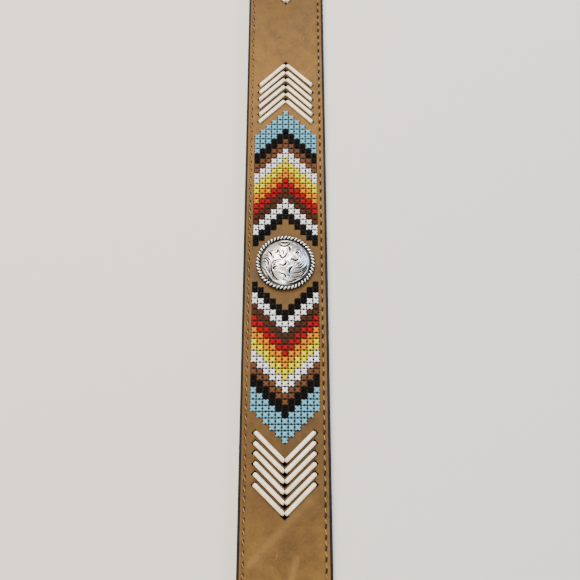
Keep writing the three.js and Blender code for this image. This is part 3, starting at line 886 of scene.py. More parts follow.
# Lacing
def rawhide():
    # bleached rawhide lace: creamy, slightly translucent at its edges, faint lengthwise fibre
    material, tree, shader = newMaterial("bleachedRawhideLace")
    place = addNode(tree, "ShaderNodeTexCoord")
    stretched = addNode(tree, "ShaderNodeMapping", {
        "Vector": place.outputs["UV"], "Scale": (3.0, 16.0, 1.0)})
    fibre = addNode(tree, "ShaderNodeTexNoise", {"Vector": stretched, "Scale": 1.0, "Detail": 4.0})
    blots = addNode(tree, "ShaderNodeTexNoise", {
        "Vector": place.outputs["Object"], "Scale": 1 / (4 * mm), "Detail": 3.0})
    tone = setRamp(addNode(tree, "ShaderNodeValToRGB", {"Fac": blots}), [
        (0.3, linear("#dfcba4")), (0.55, linear("#f6e6c6")), (0.75, linear("#fff3d8"))])
    vein = addNode(tree, "ShaderNodeMapRange", {
        "Value": fibre, "From Min": 0.3, "From Max": 0.7, "To Min": 0.9, "To Max": 1.05})
    base = addNode(tree, "ShaderNodeVectorMath", {0: tone, "Scale": vein}, operation="SCALE")
    bump = addNode(tree, "ShaderNodeBump", {"Height": fibre, "Strength": 0.4, "Distance": 0.15 * mm})
    setSockets(tree, shader, {
        "Base Color": base, "Normal": bump, "Roughness": 0.45,
        "Subsurface Weight": 0.15, "Subsurface Scale": 0.6 * mm})
    return material


def laceArmMesh():
    # one arm: up out of the middle hole, flat over the face, down into the side hole
    thick, width, gap = lacing["thickness"], lacing["width"], lacing["clearance"]
    near = lacing["middleHole"] / 2 - gap
    far = lacing["reach"] * math.sqrt(2) - lacing["sideHole"][1] / 2 + gap
    bend = lacing["bend"]
    low, high = faceBottom + gap, laidOn + thick / 2
    hidden = backingTop * lacing["hidden"] + gap
    path = [(near - thick / 2, low, 0.0), (near - thick / 2, high - bend, 0.0)]
    for turn in np.linspace(0, math.pi / 2, 7)[1:]:
        along = near - thick / 2 + bend * (1 - math.cos(turn))
        path.append((along, high - bend + bend * math.sin(turn), turn))
    flatStart, flatEnd = path[-1][0], far + thick / 2 - bend
    for along in np.linspace(flatStart, flatEnd, 12)[1:]:
        path.append((along, high, math.pi / 2))
    for turn in np.linspace(math.pi / 2, math.pi, 7)[1:]:
        path.append((flatEnd - bend * math.cos(turn), high - bend + bend * math.sin(turn), turn))
    path.append((far + thick / 2, hidden, math.pi))
    sides = 14
    rings = []
    for along, z, turn in path:
        flatness = math.sin(turn)
        half = width / 2 * (0.86 + 0.14 * flatness)
        ring = []
        for k in range(sides):
            angle = -2 * math.pi * (k + 0.5) / sides
            c, s = math.cos(angle), math.sin(angle)
            across = half * math.copysign(abs(c) ** 0.55, c)
            out = thick / 2 * math.copysign(abs(s) ** 0.62, s)
            out -= lacing["crown"] * (across / half) ** 2 if out > 0 else 0
            ring.append((along - out * math.cos(turn), across, z + out * math.sin(turn)))
        rings.append(ring)
    points, faces = loft(rings)
    mesh = meshFrom("laceArm", points, faces)
    unwrap(mesh, sides)
    return mesh


def laceTree():
    # both arms of each chevron from one mesh: even points to +X, odd to -X
    tree, given = newTree("laceArms", {
        "Chevrons": "NodeSocketInt", "Pitch": "NodeSocketFloat", "Start": "NodeSocketFloat",
        "Middle": "NodeSocketFloat", "Side": "NodeSocketFloat", "Turn": "NodeSocketFloat",
        "Seed": "NodeSocketInt", "Material": "NodeSocketMaterial"})
    index = addNode(tree, "GeometryNodeInputIndex")
    hand = index
    for operation, amount in (("MODULO", 2.0), ("MULTIPLY", -2.0), ("ADD", 1.0)):
        hand = addNode(tree, "ShaderNodeMath", {0: hand, 1: amount}, operation=operation)
    y = index
    for operation, amount in (
            ("ADD", 0.25), ("DIVIDE", 2.0), ("FLOOR", 0.0), ("MULTIPLY", given["Pitch"]),
            ("ADD", given["Start"]), ("MULTIPLY", given["Side"]), ("ADD", given["Middle"])):
        y = addNode(tree, "ShaderNodeMath", {0: y, 1: amount}, operation=operation)
    place = addNode(tree, "ShaderNodeCombineXYZ", {"Y": y})
    count = addNode(tree, "ShaderNodeMath", {0: given["Chevrons"], 1: 2.0}, operation="MULTIPLY")
    points = addNode(tree, "GeometryNodePoints", {"Count": count, "Position": place})
    back = addNode(tree, "ShaderNodeMath", {0: given["Side"], 1: -1.0}, operation="MULTIPLY")
    aim = addNode(tree, "ShaderNodeMath", {0: back, 1: hand}, operation="ARCTAN2")
    arms = addNode(tree, "GeometryNodeInstanceOnPoints", {
        "Points": points, "Instance": given["Shape"], "Rotation": jitterRotation(tree, given, aim)})
    endTree(tree, given, arms)
    return tree


def buildLacing():
    hide = rawhide()
    tree, arm = laceTree(), laceArmMesh()
    run = lacing["run"]
    place = lacing["reach"] - run["inset"]
    for n in panelY:
        for half, side in halves.items():
            values = {
                "Chevrons": lacing["count"], "Pitch": lacing["pitch"],
                "Start": lacing["start"][half], "Middle": panelY[n], "Side": float(side),
                "Turn": math.radians(lacing["turnJitter"]), "Seed": lacing["seed"] + n,
                "Material": hide}
            arms = grow("arms", arm, tree, values)
            bars = []
            for k, apex in enumerate(apexes(n, half)[1:]):
                hand = 1 if k % 2 else -1
                y = apex - side * (lacing["pitch"] / 2 + place)
                x0, x1 = hand * place - run["width"] / 2, hand * place + run["width"] / 2
                y0, y1 = y - lacing["pitch"] / 2, y + lacing["pitch"] / 2
                outline = [(x0, y0), (x1, y0), (x1, y1), (x0, y1)]
                bottom = backingTop * lacing["hidden"] + lacing["clearance"]
                bars.append(prism(outline, bottom, backingTop))
            points, faces = joinParts(bars)
            runs = meshFrom("runs", points, faces, [hide])
            mesh = mergeMeshes(f"lace_{n}_{half}", [arms, runs])
            addPiece(f"lace_{n}_{half}", mesh, "rawhide_lace", f"lacing_{n}_{half}")


buildLacing()
print("lacing laced")


# Edge stitching
edgeStitch = {
    "pitch": 4.2 * mm, "in": 2.2 * mm, "footGap": 4.0 * mm,
    "length": 2.2 * mm, "width": 0.46 * mm, "height": 0.5 * mm, "sink": 0.1 * mm,
    "pinch": 0.3,  # share of its girth that a stitch keeps at its ends
    "underHeight": 0.16 * mm,  # of the stitches' backs
    "slant": 15, "turn": 2.5, "sides": 8, "seed": 21,
    "hole": (1.02 * mm, 2.8 * mm, 0.22 * mm), "holeSlant": -12, "holeLift": 0.27 * mm,
    "colour": "#bd945c",
}


def saddleStitchMesh(height, width):
    # one visible length of thread, plump in the middle and pinched into the leather at its ends
    marks = np.array([-1, -0.92, -0.7, -0.27, 0.27, 0.7, 0.92, 1.0])
    swell = np.sqrt(np.maximum(0.06, 1 - np.abs(marks) ** 3))
    girth = edgeStitch["pinch"] + (1 - edgeStitch["pinch"]) * swell
    widths, heights = width * girth, height * girth
    path = [(m * edgeStitch["length"] / 2, height * (0.25 * s - 0.1)) for m, s in zip(marks, swell)]
    mesh = meshFrom("saddleStitch", *strand(path, widths, heights, edgeStitch["sides"]))
    unwrap(mesh, edgeStitch["sides"])
    return mesh


def edgeStitchTree():
    # stitches at even steps along a curve, each turned by the same slant from the curve's run
    tree, given = newTree("edgeStitching", {
        "Stitch": "NodeSocketObject", "Pitch": "NodeSocketFloat", "Slant": "NodeSocketFloat",
        "Shift": "NodeSocketFloat", "Turn": "NodeSocketFloat", "Seed": "NodeSocketInt",
        "Material": "NodeSocketMaterial"})
    trimmed = addNode(tree, "GeometryNodeTrimCurve", {
        0: given["Shape"], 4: given["Shift"], 5: 1e3}, mode="LENGTH")
    even = addNode(tree, "GeometryNodeResampleCurve", {
        "Curve": trimmed, "Length": given["Pitch"]}, mode="LENGTH")
    points = addNode(tree, "GeometryNodeCurveToPoints", {"Curve": even}, mode="EVALUATED")
    tangent = addNode(tree, "ShaderNodeSeparateXYZ", {"Vector": points.outputs["Tangent"]})
    heading = addNode(tree, "ShaderNodeMath", {
        0: tangent.outputs["Y"], 1: tangent.outputs["X"]}, operation="ARCTAN2")
    aim = addNode(tree, "ShaderNodeMath", {0: heading, 1: given["Slant"]}, operation="ADD")
    shape = addNode(tree, "GeometryNodeObjectInfo", {"Object": given["Stitch"]})
    size = addNode(tree, "FunctionNodeRandomValue", {
        "Min": (0.92, 0.94, 0.94), "Max": (1.03, 1.04, 1.04), "Seed": given["Seed"]},
        data_type="FLOAT_VECTOR")
    stitches = addNode(tree, "GeometryNodeInstanceOnPoints", {
        "Points": points, "Instance": shape.outputs["Geometry"],
        "Rotation": jitterRotation(tree, given, aim), "Scale": size})
    endTree(tree, given, stitches)
    return tree


def polyCurve(name, points):
    data = bpy.data.curves.new(name, "CURVE")
    data.dimensions = "3D"
    spline = data.splines.new("POLY")
    spline.points.add(len(points) - 1)
    for point, place in zip(spline.points, points):
        point.co = (*place, 1.0)
    return data


def stitchLine(level):
    # up one side from the fold's foot, round the tip and down the other side
    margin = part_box("strap_backing")[1].x - faceHalf
    inset = edgeStitch["in"]
    foot = leather["barY"] + leather["rise"] + edgeStitch["footGap"]
    marks = tipY - leather["tipLength"] * (1 - np.sin(np.linspace(0, math.pi / 2, 90)))
    half = tipHalf(marks, faceHalf + margin) - margin
    outline = np.column_stack([half, marks])
    run = np.gradient(outline, axis=0)
    normal = np.column_stack([-run[:, 1], run[:, 0]]) / np.hypot(run[:, 0], run[:, 1])[:, None]
    inner = outline + inset * normal
    inner = inner[(inner[:, 0] > 0) & (inner[:, 1] < tipY - inset)]
    right = [(faceHalf - inset, foot)] + [tuple(p) for p in inner] + [(0, tipY - inset)]
    left = [(-x, y) for x, y in reversed(right[:-1])]
    return polyCurve("stitchLine", [(x, y, level) for x, y in right + left])


def footLine(level):
    # the cross row that holds the fold's tail down
    reach = faceHalf - 2.6 * edgeStitch["in"]
    y = leather["barY"] + leather["rise"] + edgeStitch["footGap"]
    return polyCurve("footLine", [(reach, y, level), (-reach, y, level)])


def template(mesh):
    # an object for a tree to take its instances from
    holder = bpy.data.objects.new(mesh.name, mesh)
    scene.collection.objects.link(holder)
    return holder


def buildEdgeStitching():
    tan = threadMaterial("tanSaddleThread", [(0, linear(edgeStitch["colour"]))], 3.9)
    tree = edgeStitchTree()
    top = template(saddleStitchMesh(edgeStitch["height"], edgeStitch["width"]))
    under = template(saddleStitchMesh(edgeStitch["underHeight"], edgeStitch["width"]))
    hole = template(meshFrom("awlHole", *lens(*edgeStitch["hole"], sides=10)))
    topLevel = faceTop - edgeStitch["sink"]
    holeLevel = faceTop - leather["grooveDepth"] + edgeStitch["holeLift"]
    rows = [
        ("edge_stitches", "stitch_thread", top, tan, topLevel, 0.0, edgeStitch["slant"]),
        # dark pebbles of painted shade for each awl slit and the thread's shadow beside it
        ("awl_holes", "face_leather", hole, holeShade, holeLevel, 0.5, edgeStitch["holeSlant"] + 90),
        ("under_stitches", "stitch_thread", under, tan, 0.02 * mm, 0.5, 0),
    ]
    for name, slot, shape, material, level, shift, slant in rows:
        made = []
        for line in (stitchLine(level), footLine(level)):
            made.append(grow(name, line, tree, {
                "Stitch": shape, "Pitch": edgeStitch["pitch"], "Slant": math.radians(slant),
                "Shift": shift * edgeStitch["pitch"], "Turn": math.radians(edgeStitch["turn"]),
                "Seed": edgeStitch["seed"], "Material": material}))
        addPiece(name, mergeMeshes(name, made), slot)
    for holder in (top, under, hole):
        bpy.data.objects.remove(holder)


buildEdgeStitching()
print("edges stitched")


# Conchos: cast domes with chased western scrolls, and a roped edge
concho = {
    "radius": 13.25 * mm, "rope": 1.9 * mm, "flange": 1.1 * mm, "dome": 4.3 * mm,
    "boss": 2.5 * mm, "socket": 1.6 * mm, "socketDepth": 2.4 * mm,
    "segments": 288, "domeRings": 84, "depth": 0.24 * mm, "groove": 0.3 * mm, "strokeWidth": 1.0,
    "lobes": 48, "lobe": (2.15 * mm, 1.0 * mm, 1.5 * mm), "lobeOut": 0.05 * mm, "lobeSlant": 38,
    "lobeTurn": 1.5, "seed": 31,
}
# Chased strokes in shares of the dome's radius, +Y towards the tip: width, depth, then points
strokes = {
    "crescentBowl": (0.08, 1.0, (-0.29, 0.87), (-0.17, 0.69), (-0.03, 0.65), (0.12, 0.7), (0.22, 0.86)),
    # painted shade under the rope, drawn as a wide chased stroke
    "shadeUnderRope": (0.12, 1.0, (-0.22, 0.87), (-0.03, 0.83), (0.17, 0.88)),
    "crownCurl": (0.05, 0.8, (0.35, 0.83), (0.45, 0.81), (0.5, 0.75)),
    "rimTopRight": (0.05, 0.8, (0.55, 0.79), (0.63, 0.73), (0.72, 0.61)),
    "tulipLeftHook": (0.085, 0.9, (-0.28, 0.52), (-0.3, 0.39), (-0.4, 0.31)),
    "tulipLeft": (0.07, 1.0, (-0.25, 0.25), (-0.15, 0.12), (-0.1, 0.04)),
    "tulipRight": (0.07, 1.0, (0.09, 0.33), (0.01, 0.16), (-0.1, 0.04)),
    "tulipVein": (0.04, 0.8, (-0.11, 0.44), (-0.07, 0.33), (-0.08, 0.2)),
    "tulipRightPetal": (0.085, 0.9, (0.15, 0.63), (0.19, 0.51), (0.17, 0.36)),
    "leftStar": (0.065, 0.9, (-0.67, 0.44), (-0.56, 0.29), (-0.51, 0.11)),
    "leftStarTop": (0.045, 0.8, (-0.63, 0.45), (-0.53, 0.44), (-0.44, 0.44)),
    "leftRim": (0.05, 0.8, (-0.94, 0.28), (-0.86, 0.42), (-0.79, 0.53), (-0.71, 0.59)),
    "leafOuterCurl": (0.06, 0.9, (-0.98, 0.09), (-0.86, 0.15), (-0.72, 0.06), (-0.66, -0.1), (-0.66, -0.2)),
    "leafInnerCurl": (0.045, 0.8, (-0.96, -0.06), (-0.86, 0.01), (-0.75, -0.05), (-0.69, -0.2)),
    "bigCTop": (0.055, 1.0, (-0.17, 0.02), (-0.32, 0.0), (-0.46, -0.04), (-0.54, -0.16)),
    "bigC": (0.07, 1.0, (-0.54, -0.16), (-0.56, -0.33), (-0.51, -0.5), (-0.43, -0.66), (-0.3, -0.78)),
    "hatchA": (0.035, 0.8, (-0.47, -0.37), (-0.4, -0.29), (-0.31, -0.24)),
    "hatchB": (0.035, 0.8, (-0.42, -0.41), (-0.37, -0.36), (-0.32, -0.35)),
    "hatchC": (0.035, 0.8, (-0.45, -0.22), (-0.41, -0.18), (-0.36, -0.16)),
    "bellyLine": (0.065, 0.9, (-0.31, -0.44), (-0.17, -0.54), (-0.03, -0.58), (0.02, -0.68), (0.07, -0.7)),
    "centreS": (
        0.075, 1.0, (-0.24, -0.18), (-0.15, -0.22), (-0.06, -0.23), (0.02, -0.17), (0.03, -0.08),
        (-0.03, -0.03)),
    "rightS": (
        0.085, 1.0, (0.21, -0.06), (0.25, 0.03), (0.34, 0.01), (0.42, -0.01), (0.5, 0.05), (0.52, 0.12)),
    "eye": (0.07, 0.9, (0.39, 0.31), (0.45, 0.38), (0.52, 0.37), (0.5, 0.27)),
    "eyeBrow": (0.045, 0.8, (0.4, 0.5), (0.55, 0.53), (0.65, 0.45)),
    "leafA": (0.05, 0.9, (0.48, -0.25), (0.6, -0.17), (0.72, -0.05)),
    "leafB": (0.05, 1.0, (0.4, -0.29), (0.57, -0.3), (0.71, -0.18), (0.81, 0.0)),
    "leafC": (0.045, 0.8, (0.59, 0.1), (0.62, 0.17), (0.65, 0.23)),
    "leafD": (0.06, 1.0, (0.26, -0.49), (0.48, -0.5), (0.68, -0.39), (0.83, -0.2), (0.89, -0.02)),
    "leafE": (0.06, 1.0, (0.21, -0.66), (0.41, -0.68), (0.63, -0.58), (0.79, -0.4), (0.88, -0.22)),
    "leafBase": (0.09, 1.0, (0.3, -0.28), (0.21, -0.36), (0.16, -0.48), (0.22, -0.57)),
    "rimA": (0.055, 1.0, (-0.82, -0.39), (-0.7, -0.54), (-0.6, -0.7), (-0.46, -0.83), (-0.24, -0.92)),
    "rimB": (0.055, 1.0, (-0.85, -0.53), (-0.73, -0.73), (-0.56, -0.89), (-0.31, -0.97), (-0.17, -0.99)),
    "rimC": (0.055, 1.0, (0.01, -0.88), (0.18, -0.86), (0.36, -0.8), (0.56, -0.69)),
    "rimD": (0.055, 1.0, (0.01, -0.93), (0.3, -0.9), (0.59, -0.76), (0.81, -0.52)),
    "veinA": (0.04, 0.8, (-0.55, -0.57), (-0.43, -0.74), (-0.24, -0.83)),
    "veinB": (0.04, 0.8, (-0.39, -0.66), (-0.32, -0.74), (-0.22, -0.8)),
    "leafFan": (0.045, 0.8, (0.43, -0.18), (0.53, -0.13), (0.62, -0.05)),
    "leafG": (0.035, 0.8, (0.39, -0.4), (0.5, -0.42), (0.64, -0.35), (0.75, -0.25), (0.84, -0.11)),
    "leafH": (0.035, 0.9, (0.32, -0.58), (0.5, -0.58), (0.66, -0.48), (0.8, -0.33), (0.9, -0.15)),
    "rimE": (
        0.035, 0.9, (0.1, -0.74), (0.3, -0.76), (0.5, -0.72), (0.66, -0.63), (0.8, -0.5), (0.91, -0.33)),
    # painted dark reflection near the dome's right edge, drawn as a chased stroke
    "darkReflectionRight": (0.04, 0.7, (0.74, 0.42), (0.81, 0.3), (0.85, 0.16)),
    "rimHighInner": (0.04, 0.7, (0.62, 0.36), (0.69, 0.26), (0.73, 0.12)),
    "featherA": (0.045, 0.8, (-0.82, 0.19), (-0.7, 0.14), (-0.61, 0.02), (-0.58, -0.1)),
    "featherB": (0.045, 0.8, (-0.8, -0.16), (-0.73, -0.3), (-0.65, -0.45), (-0.56, -0.58), (-0.47, -0.68)),
    "featherC": (0.045, 0.8, (-0.93, -0.16), (-0.87, -0.28), (-0.79, -0.38)),
    "featherD": (0.045, 0.8, (-0.66, -0.24), (-0.63, -0.38), (-0.58, -0.5)),
    "featherE": (0.04, 0.7, (-0.86, 0.3), (-0.74, 0.27), (-0.64, 0.18)),
    "starStem": (0.045, 0.8, (-0.45, 0.24), (-0.46, 0.14), (-0.5, 0.05)),
    "starTip": (0.05, 0.9, (-0.7, 0.53), (-0.67, 0.44)),
    "petalVeinLeft": (0.035, 0.7, (-0.2, 0.46), (-0.23, 0.36), (-0.2, 0.25)),
    "petalVeinRight": (0.035, 0.7, (0.05, 0.55), (0.08, 0.45), (0.06, 0.34)),
    "petalLow": (0.035, 0.7, (0.09, -0.05), (0.14, -0.15), (0.16, -0.25)),
    "bigCInner": (0.04, 0.8, (-0.22, -0.07), (-0.33, -0.08), (-0.43, -0.14), (-0.47, -0.24)),
    "curlHook": (0.09, 1.0, (-0.36, -0.24), (-0.42, -0.27), (-0.46, -0.33), (-0.43, -0.39)),
    "pupil": (0.13, 1.0, (0.43, 0.33), (0.46, 0.33)),
    "dotA": (0.15, 1.0, (0.15, -0.63), (0.17, -0.63)),
    "dotB": (0.12, 1.0, (-0.06, -0.77), (-0.04, -0.77)),
}


def smoothLine(points, steps=6):
    # a Catmull-Rom line through charted points
    p = [points[0], *points, points[-1]]
    line = []
    for a, b, c, d in zip(p, p[1:], p[2:], p[3:]):
        a, b, c, d = (np.array(v, float) for v in (a, b, c, d))
        for t in np.arange(steps) / steps:
            line.append(0.5 * (2 * b + (c - a) * t + (2 * a - 5 * b + 4 * c - d) * t ** 2
                               + (3 * b - a - 3 * c + d) * t ** 3))
    line.append(np.array(points[-1], float))
    return np.array(line)


def chasing(x, y):
    # how deeply each place of the dome is cut, 0 to 1, and how much it swells beside a cut
    cut = np.zeros(len(x))
    swell = np.zeros(len(x))
    for width, depth, *points in strokes.values():
        line = smoothLine(points)
        best = np.full(len(x), 9.0)
        share = np.zeros(len(x))
        for i, (a, b) in enumerate(zip(line, line[1:])):
            ab = b - a
            t = np.clip(((x - a[0]) * ab[0] + (y - a[1]) * ab[1]) / max(ab @ ab, 1e-9), 0, 1)
            away = np.hypot(x - a[0] - t * ab[0], y - a[1] - t * ab[1])
            near = away < best
            best[near] = away[near]
            share[near] = (i + t[near]) / (len(line) - 1)
        taper = 0.45 + 0.55 * np.sin(math.pi * np.clip(share, 0.02, 0.98))
        half = concho["strokeWidth"] * width * taper / 2
        cut = np.maximum(cut, depth * taper * np.clip(1.25 - best / half, 0, 1))
        swell = np.maximum(swell, np.exp(-((best - 1.9 * half) / (0.9 * half)) ** 2))
    return cut, swell


def antiqueSilver():
    # cast nickel silver, plated and antiqued: bright worn crowns, dark oxide left in every cut
    material, tree, shader = newMaterial("antiquedNickelSilver")
    place = addNode(tree, "ShaderNodeTexCoord").outputs["Object"]
    cut = addNode(tree, "ShaderNodeAttribute", attribute_name="patina").outputs["Fac"]
    oxide = addNode(tree, "ShaderNodeTexNoise", {"Vector": place, "Scale": 1 / (3 * mm), "Detail": 5.0})
    for operation, amount in (("SUBTRACT", 0.45), ("MULTIPLY", 0.7), ("ADD", cut)):
        oxide = addNode(tree, "ShaderNodeMath", {0: oxide, 1: amount}, operation=operation)
    metal = setRamp(addNode(tree, "ShaderNodeValToRGB", {"Fac": oxide}), [
        (0.0, linear("#f6f5f1")), (0.3, linear("#cfcdc8")),
        (0.6, linear("#75736d")), (0.95, linear("#1c1b19"))])
    shine = addNode(tree, "ShaderNodeMapRange", {
        "Value": oxide, "From Max": 0.8, "To Min": 0.29, "To Max": 0.6})
    scratches = addNode(tree, "ShaderNodeTexNoise", {
        "Vector": place, "Scale": 1 / (0.7 * mm), "Detail": 4.0})
    bump = addNode(tree, "ShaderNodeBump", {"Height": scratches, "Strength": 0.12, "Distance": 0.12 * mm})
    setSockets(tree, shader, {"Base Color": metal, "Metallic": 1.0, "Roughness": shine, "Normal": bump})
    return material


def conchoRings():
    # (radius, height over the strap) of the turned body, from the crown down to the socket's end
    dome = concho["radius"] - concho["rope"]
    rise = concho["dome"] - concho["flange"]
    sphere = (dome ** 2 + rise ** 2) / (2 * rise)
    rings = []
    for share in np.linspace(0, 1, concho["domeRings"] + 1)[1:]:
        radius = dome * share
        height = concho["dome"] - sphere + math.sqrt(sphere ** 2 - radius ** 2)
        sink = concho["groove"] * math.exp(-((radius - dome) / (0.45 * mm)) ** 2)
        rings.append((radius, height - sink, share))
    edge, boss, socket = concho["radius"] - 0.25 * mm, concho["boss"], concho["socket"]
    level, deep = concho["flange"] - concho["groove"], faceBottom - laidOn + layerGap
    bottom = deep + concho["socketDepth"]
    for radius, height in (
            (dome + 0.2 * mm, level - 0.05 * mm), (dome + 0.9 * mm, level), (edge - 0.1 * mm, level),
            (edge, level - 0.1 * mm), (edge, 0.1 * mm), (edge - 0.1 * mm, 0.0),
            (boss + 0.2 * mm, 0.0), (boss, -0.15 * mm), (boss, deep + 0.15 * mm),
            (boss - 0.15 * mm, deep), (socket, deep), (socket, bottom)):
        rings.append((radius, height, 2.0))
    return rings, concho["dome"], bottom


def conchoMesh(y, material):
    rings, crown, bottom = conchoRings()
    count = concho["segments"]
    angles = np.arange(count) * 2 * math.pi / count
    radius = np.repeat([r[0] for r in rings], count)
    height = np.repeat([r[1] for r in rings], count)
    share = np.repeat([r[2] for r in rings], count)
    x, up = radius * np.tile(np.cos(angles), len(rings)), radius * np.tile(np.sin(angles), len(rings))
    dome = concho["radius"] - concho["rope"]
    onDome = share <= 1.0
    cut, swell = np.zeros(len(x)), np.zeros(len(x))
    cut[onDome], swell[onDome] = chasing(x[onDome] / dome, up[onDome] / dome)
    fade = np.clip((1.0 - share) / 0.04, 0, 1)
    lift = (0.35 * swell * (1 - cut) - cut) * concho["depth"] * np.where(onDome, fade, 0)
    patina = np.where(onDome, np.maximum(cut * 1.6, 0.8 * np.exp(-((share - 1.02) / 0.11) ** 2)), 0.9)
    points = list(zip(x, y + up, laidOn + height + lift))
    points += [(0, y, laidOn + crown), (0, y, laidOn + bottom)]
    top, low = len(points) - 2, len(points) - 1
    faces = [(top, k, (k + 1) % count) for k in range(count)]
    for i in range(len(rings) - 1):
        for k in range(count):
            a, b = i * count + k, i * count + (k + 1) % count
            faces.append((a, a + count, b + count, b))
    last = (len(rings) - 1) * count
    faces += [(last + k, low, last + (k + 1) % count) for k in range(count)]
    mesh = meshFrom("concho", points, faces, [material])
    values = np.concatenate([patina, [0.0, 0.9]])
    mesh.attributes.new("patina", "FLOAT", "POINT").data.foreach_set("value", values)
    return mesh


def lobeMesh():
    # one strand of the rope where it crosses the rim: a plump, slanted bead
    length, width, height = concho["lobe"]
    rings = []
    steps, sides = 9, 12
    for i in range(1, steps):
        angle = math.pi * i / steps
        along, girth = -math.cos(angle), math.sin(angle) ** 0.7
        rings.append([(
            length / 2 * along, -width / 2 * girth * math.sin(2 * math.pi * k / sides),
            height / 2 * girth * math.cos(2 * math.pi * k / sides)) for k in range(sides)])
    mesh = meshFrom("ropeLobe", *loft(rings))
    heights = np.array([vertex.co.z for vertex in mesh.vertices]) / (height / 2)
    patina = np.clip(1.1 - 1.4 * heights, 0, 1)
    mesh.attributes.new("patina", "FLOAT", "POINT").data.foreach_set("value", patina)
    return mesh


def ropeTree():
    tree, given = newTree("ropedEdge", {
        "Lobes": "NodeSocketInt", "Radius": "NodeSocketFloat", "Middle": "NodeSocketFloat",
        "Level": "NodeSocketFloat", "Slant": "NodeSocketFloat", "Turn": "NodeSocketFloat",
        "Seed": "NodeSocketInt", "Material": "NodeSocketMaterial"})
    angle = addNode(tree, "GeometryNodeInputIndex")
    for operation, amount in (("DIVIDE", given["Lobes"]), ("MULTIPLY", 2 * math.pi)):
        angle = addNode(tree, "ShaderNodeMath", {0: angle, 1: amount}, operation=operation)
    x = y = angle
    for operation, amount in (("COSINE", 0.0), ("MULTIPLY", given["Radius"])):
        x = addNode(tree, "ShaderNodeMath", {0: x, 1: amount}, operation=operation)
    for operation, amount in (("SINE", 0.0), ("MULTIPLY", given["Radius"]), ("ADD", given["Middle"])):
        y = addNode(tree, "ShaderNodeMath", {0: y, 1: amount}, operation=operation)
    place = addNode(tree, "ShaderNodeCombineXYZ", {"X": x, "Y": y, "Z": given["Level"]})
    points = addNode(tree, "GeometryNodePoints", {"Count": given["Lobes"], "Position": place})
    aim = addNode(tree, "ShaderNodeMath", {0: angle, 1: given["Slant"]}, operation="SUBTRACT")
    size = addNode(tree, "FunctionNodeRandomValue", {
        "Min": (0.95, 0.95, 0.96), "Max": (1.02, 1.03, 1.02), "Seed": given["Seed"]},
        data_type="FLOAT_VECTOR")
    lobes = addNode(tree, "GeometryNodeInstanceOnPoints", {
        "Points": points, "Instance": given["Shape"],
        "Rotation": jitterRotation(tree, given, aim), "Scale": size})
    endTree(tree, given, lobes)
    return tree


def buildConchos():
    silver = antiqueSilver()
    tree, lobe = ropeTree(), lobeMesh()
    for n, y in panelY.items():
        body = conchoMesh(y, silver)
        rope = grow("rope", lobe, tree, {
            "Lobes": concho["lobes"], "Middle": y,
            "Radius": concho["radius"] - concho["rope"] / 2 + concho["lobeOut"],
            "Level": laidOn + concho["rope"] - concho["lobe"][2] / 2,
            "Slant": math.radians(concho["lobeSlant"]), "Turn": math.radians(concho["lobeTurn"]),
            "Seed": concho["seed"] + n, "Material": silver})
        name = f"silver_concho_{n}"
        addPiece(name, mergeMeshes(name, [body, rope]), "concho_silver", f"concho_{n}")


buildConchos()
print("conchos cast")


# Buckle: a plain plated plate buckle with a bar behind it and a hook under its far end
buckle = {
    "low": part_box("buckle")[0], "high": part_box("buckle")[1],
    "plate": 2.6 * mm, "corner": 14 * mm, "round": 1.0 * mm, "roundSteps": 5, "cornerSteps": 14,
    "bar": 2.2 * mm, "barSides": 28, "lug": (3.0 * mm, 6.0 * mm), "lugGap": 0.7 * mm,
    "hook": 2.0 * mm, "hookIn": 9.0 * mm, "hookFlare": 0.35 * mm,
}


def platedMetal(name, colour, roughness):
    # nickel-plated zinc, brushed lengthwise then buffed: soft straight highlights
    material, tree, shader = newMaterial(name)
    place = addNode(tree, "ShaderNodeTexCoord").outputs["Object"]
    drawn = addNode(tree, "ShaderNodeMapping", {
        "Vector": place, "Scale": (1 / (0.3 * mm), 1 / (20 * mm), 1 / (0.3 * mm))})
    brushed = addNode(tree, "ShaderNodeTexNoise", {"Vector": drawn, "Scale": 1.0, "Detail": 3.0})
    worn = addNode(tree, "ShaderNodeTexNoise", {"Vector": place, "Scale": 1 / (12 * mm), "Detail": 4.0})
    dull = tuple(0.84 * c for c in linear(colour)[:3]) + (1.0,)
    tone = setRamp(addNode(tree, "ShaderNodeValToRGB", {"Fac": worn}), [(0.3, dull), (0.7, linear(colour))])
    bump = addNode(tree, "ShaderNodeBump", {"Height": brushed, "Strength": 0.1, "Distance": 0.1 * mm})
    gloss = addNode(tree, "ShaderNodeMapRange", {
        "Value": worn, "To Min": roughness - 0.08, "To Max": roughness + 0.1})
    setSockets(tree, shader, {"Base Color": tone, "Metallic": 1.0, "Roughness": gloss, "Normal": bump})
    return material


def roundedOutline(halfX, halfY, corner, steps):
    outline = []
    for quarter, (sx, sy) in enumerate(((1, 1), (-1, 1), (-1, -1), (1, -1))):
        for k in range(steps + 1):
            angle = (quarter + k / steps) * math.pi / 2
            outline.append((sx * (halfX - corner) + corner * math.cos(angle),
                            sy * (halfY - corner) + corner * math.sin(angle)))
    return outline


def softPlate(x, y, halfX, halfY, corner, low, high, edge):
    # a slab with its edges rounded over, above and below
    turns = np.linspace(0, math.pi / 2, buckle["roundSteps"] + 1)
    levels = [(low + edge * (1 - math.sin(t)), edge * (1 - math.cos(t))) for t in reversed(turns)]
    levels += [(high - edge * (1 - math.sin(t)), edge * (1 - math.cos(t))) for t in turns]
    rings = []
    for z, inset in levels:
        turn = max(corner - inset, 0.05 * mm)
        outline = roundedOutline(halfX - inset, halfY - inset, turn, buckle["cornerSteps"])
        rings.append([(x + a, y + b, z) for a, b in outline])
    return loft(rings)


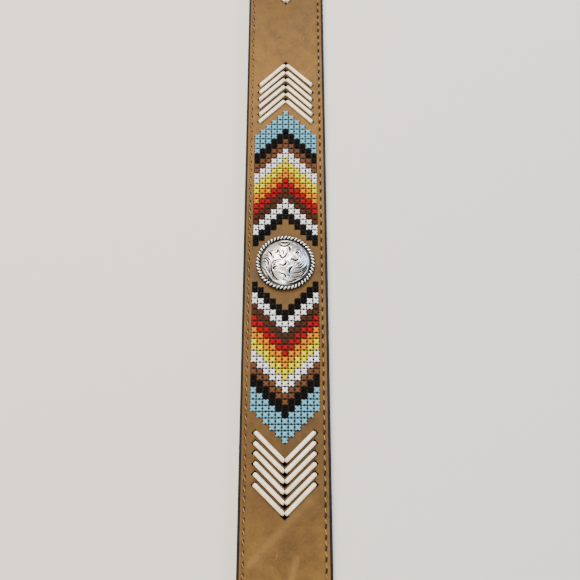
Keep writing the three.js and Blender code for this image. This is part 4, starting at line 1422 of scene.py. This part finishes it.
def roundRod(stations, sides, start, along):
    # a closed rod through (distance, radius) stations from a start, along Z or X
    rings = []
    for far, radius in stations:
        ring = []
        for k in range(sides):
            angle = 2 * math.pi * k / sides
            a, b = radius * math.cos(angle), radius * math.sin(angle)
            ring.append((start[0] + a, start[1] + b, start[2] + far) if along == "Z"
                        else (start[0] + far, start[1] + a, start[2] + b))
        rings.append(ring)
    return loft(rings)


def buildBuckle():
    low, high = buckle["low"], buckle["high"]
    middle, length = (low.y + high.y) / 2, high.y - low.y
    bottom = high.z - buckle["plate"]
    barZ = backingTop + leather["wrapRadius"]
    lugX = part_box("strap_backing")[1].x + buckle["lugGap"] + buckle["lug"][0] / 2
    parts = [softPlate(0, middle, high.x, length / 2, buckle["corner"], bottom, high.z, buckle["round"])]
    for hand in (1, -1):
        parts.append(softPlate(
            hand * lugX, leather["barY"], buckle["lug"][0] / 2, buckle["lug"][1] / 2, 1.2 * mm,
            barZ - buckle["bar"], bottom + 0.9 * mm, 0.4 * mm))
    parts.append(roundRod([(0, buckle["bar"]), (2 * lugX, buckle["bar"])], buckle["barSides"],
                          (-lugX, leather["barY"], barZ), "X"))
    hook, flare = buckle["hook"], buckle["hookFlare"]
    stations = [(0, hook - 0.5 * mm), (0.15 * mm, hook - 0.15 * mm), (0.5 * mm, hook), (1.4 * mm, hook),
                (2.0 * mm, hook - flare), (bottom - low.z - 1.2 * mm, hook - flare),
                (bottom - low.z, hook), (bottom - low.z + 0.9 * mm, hook)]
    parts.append(roundRod(stations, buckle["barSides"], (0, low.y + buckle["hookIn"], low.z), "Z"))
    mesh = meshFrom("plate_buckle", *joinParts(parts), [platedMetal("brushedNickelPlate", "#cfcdc8", 0.3)])
    mesh.set_sharp_from_angle(angle=math.radians(40))
    addPiece("plate_buckle", mesh, "buckle_metal", "buckle")


buildBuckle()
steel = platedMetal("turnedScrewSteel", "#b9b8b4", 0.36)
for n in panelY:
    swappedMaterial(f"concho_screw_{n}", steel)
print("buckle and screws finished")
